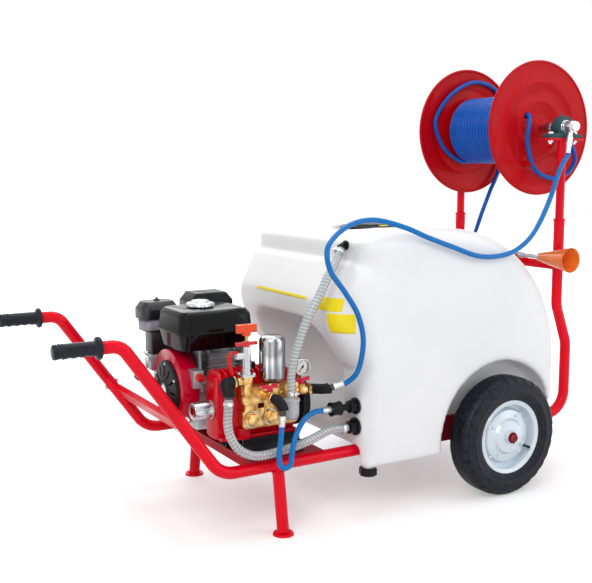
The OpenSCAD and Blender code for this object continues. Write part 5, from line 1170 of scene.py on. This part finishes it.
red_arc = add(tree, "Math", {0: high.outputs[0], 1: ring.outputs[0]}, operation="MULTIPLY")
soft = add(tree, "Math", {0: red_arc.outputs[0], 1: 0.75}, operation="MULTIPLY")
painted = add(tree, "Mix", {0: soft.outputs[0], 6: inked.outputs[2], 7: linear("#d3302c")},
              data_type="RGBA")
skin = add(tree, "BsdfPrincipled", {"Base Color": painted.outputs[2], "Roughness": 0.25,
                                    "IOR": 1.5, "Coat Weight": 0.5})
tree.links.new(skin.outputs[0], out.inputs[0])
spun("gauge_dial", dial_print, "cart",
     [(20.6, -0.3), (20.6, 0.25), (20.2, 0.45), (1.4, 0.45), (1.3, 0.2)], 64,
     (gauge_x, -243.2, gauge_z), "-Y")
spun("gauge_bezel", turned_steel, "cart",
     [(20.8, 0), (20.9, 0.6), (22.2, 1.3), (23.8, 1), (24.7, 0), (24.9, -2.4), (24.6, -3.4)], 64,
     (gauge_x, -246.8, gauge_z), "-Y")

# ---- Cocks ----
# Quarter-turn brass cocks in the head. Each is turned by a wing handle moulded in red nylon,
# which a small zinc-plated screw holds on its square.
red_nylon = moulded("red_nylon", "#e0234a", "#c91c3f", 0.3, 2.0, coat=0.25)
for node, x, y in (("agitator_cock", -368, -286), ("outlet_cock", -247, -250)):
    finish_node(node, red_nylon, edge=1.4)
    spun(node + "_screw", zinc_plate, "cart",
         [(3.4, -1), (3.4, 0.4), (2.6, 1.2), (1, 1.2), (0.9, 0.6), (0, 0.6)], 20,
         (x, y, 424), "Z")

# ---- Hose fittings ----
# Black nylon elbows with union nuts lead off the head, and a grey acetal cup with a strainer
# inside collects the by-pass flow.
cup_nylon, tree, out = blank("black_and_grey_nylon")
cup_r = 0.0255
at = add(tree, "TexCoord", {})
moved = add(tree, "Mapping", {"Vector": at.outputs["Object"],
                              "Location": (-cup_x / 1000, -cup_y / 1000, 0)})
split = add(tree, "SeparateXYZ", {0: moved.outputs[0]})
flat = add(tree, "CombineXYZ", {0: split.outputs[0], 1: split.outputs[1], 2: 0.0})
away = add(tree, "VectorMath", {0: flat.outputs[0]}, operation="LENGTH")
near_cup = add(tree, "Math", {0: away.outputs["Value"], 1: cup_r}, operation="LESS_THAN")
cloud = add(tree, "TexNoise", {"Vector": at.outputs["Object"], "Scale": 60.0, "Detail": 4.0})
dark = add(tree, "Mix", {0: cloud.outputs[0], 6: linear("#17181b"), 7: linear("#26272b")},
           data_type="RGBA")
grey = add(tree, "Mix", {0: cloud.outputs[0], 6: linear("#a6abb0"), 7: linear("#bcc0c4")},
           data_type="RGBA")
film = add(tree, "Mix", {0: near_cup.outputs[0], 6: dark.outputs[2], 7: grey.outputs[2]},
           data_type="RGBA")
skin = add(tree, "BsdfPrincipled", {"Base Color": film.outputs[2], "Roughness": 0.34,
                                    "IOR": 1.5, "Coat Weight": 0.2})
tree.links.new(skin.outputs[0], out.inputs[0])
finish_node("hose_fittings", cup_nylon, edge=0.8)
for name, at, way in (("suction_union", (-452, -245, 430), (-1, 0, 0)),
                      ("agitator_union", (-368, -302, 389), (0, -1, 0)),
                      ("pressure_union", (-231, -250, 387), (1, 0, 0))):
    spun(name, brass, "cart",
         [(12.6, 0), (16.4, 0), (17.6, 1), (17.6, 9), (16.4, 10), (12.6, 10)], 6, at, way, 20)

# ---- Elbow sleeves ----
# Thick black rubber sleeves, moulded in a bend, are pushed over the three elbows of the head,
# and a straight one over the upper port; a rolled lip ends each of them.
sleeve_rubber = moulded("black_moulded_rubber", "#101114", "#191a1d", 0.4, 1.8)
lip_swell, end_swell = 1.12, 1.04
for name, route, r in (
    ("suction_sleeve", [(-458, -245, 430), (-472, -245, 430), (-481, -248, 427),
                        (-482, -256, 418), (-480.5, -264, 406), (-480.5, -265, 401)], 17),
    ("agitator_sleeve", [(-368, -305, 389), (-367, -313, 389), (-362, -319, 386),
                         (-352, -316, 376), (-341.5, -310, 362), (-341, -310, 358)], 14.5),
    ("pressure_sleeve", [(-228, -250, 387), (-219, -251, 387), (-210, -259, 387.5),
                         (-200, -275, 389), (-187.5, -292, 392), (-184, -294.5, 393)], 14.5),
    ("upper_port_sleeve", [(-172, -283, 328), (-168, -283, 328), (-150, -283, 328),
                           (-140, -283, 328)], 18.5),
):
    line = smooth(route, 6)
    lips = (1, 2, len(line) - 3, len(line) - 2)
    lip = [lip_swell if i in lips else 1 for i in range(len(line))]
    lip[0] = lip[-1] = end_swell
    sleeve = hose(name, line, 2 * r, sleeve_rubber, swell=lip)
    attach(sleeve, "cart")

low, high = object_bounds()
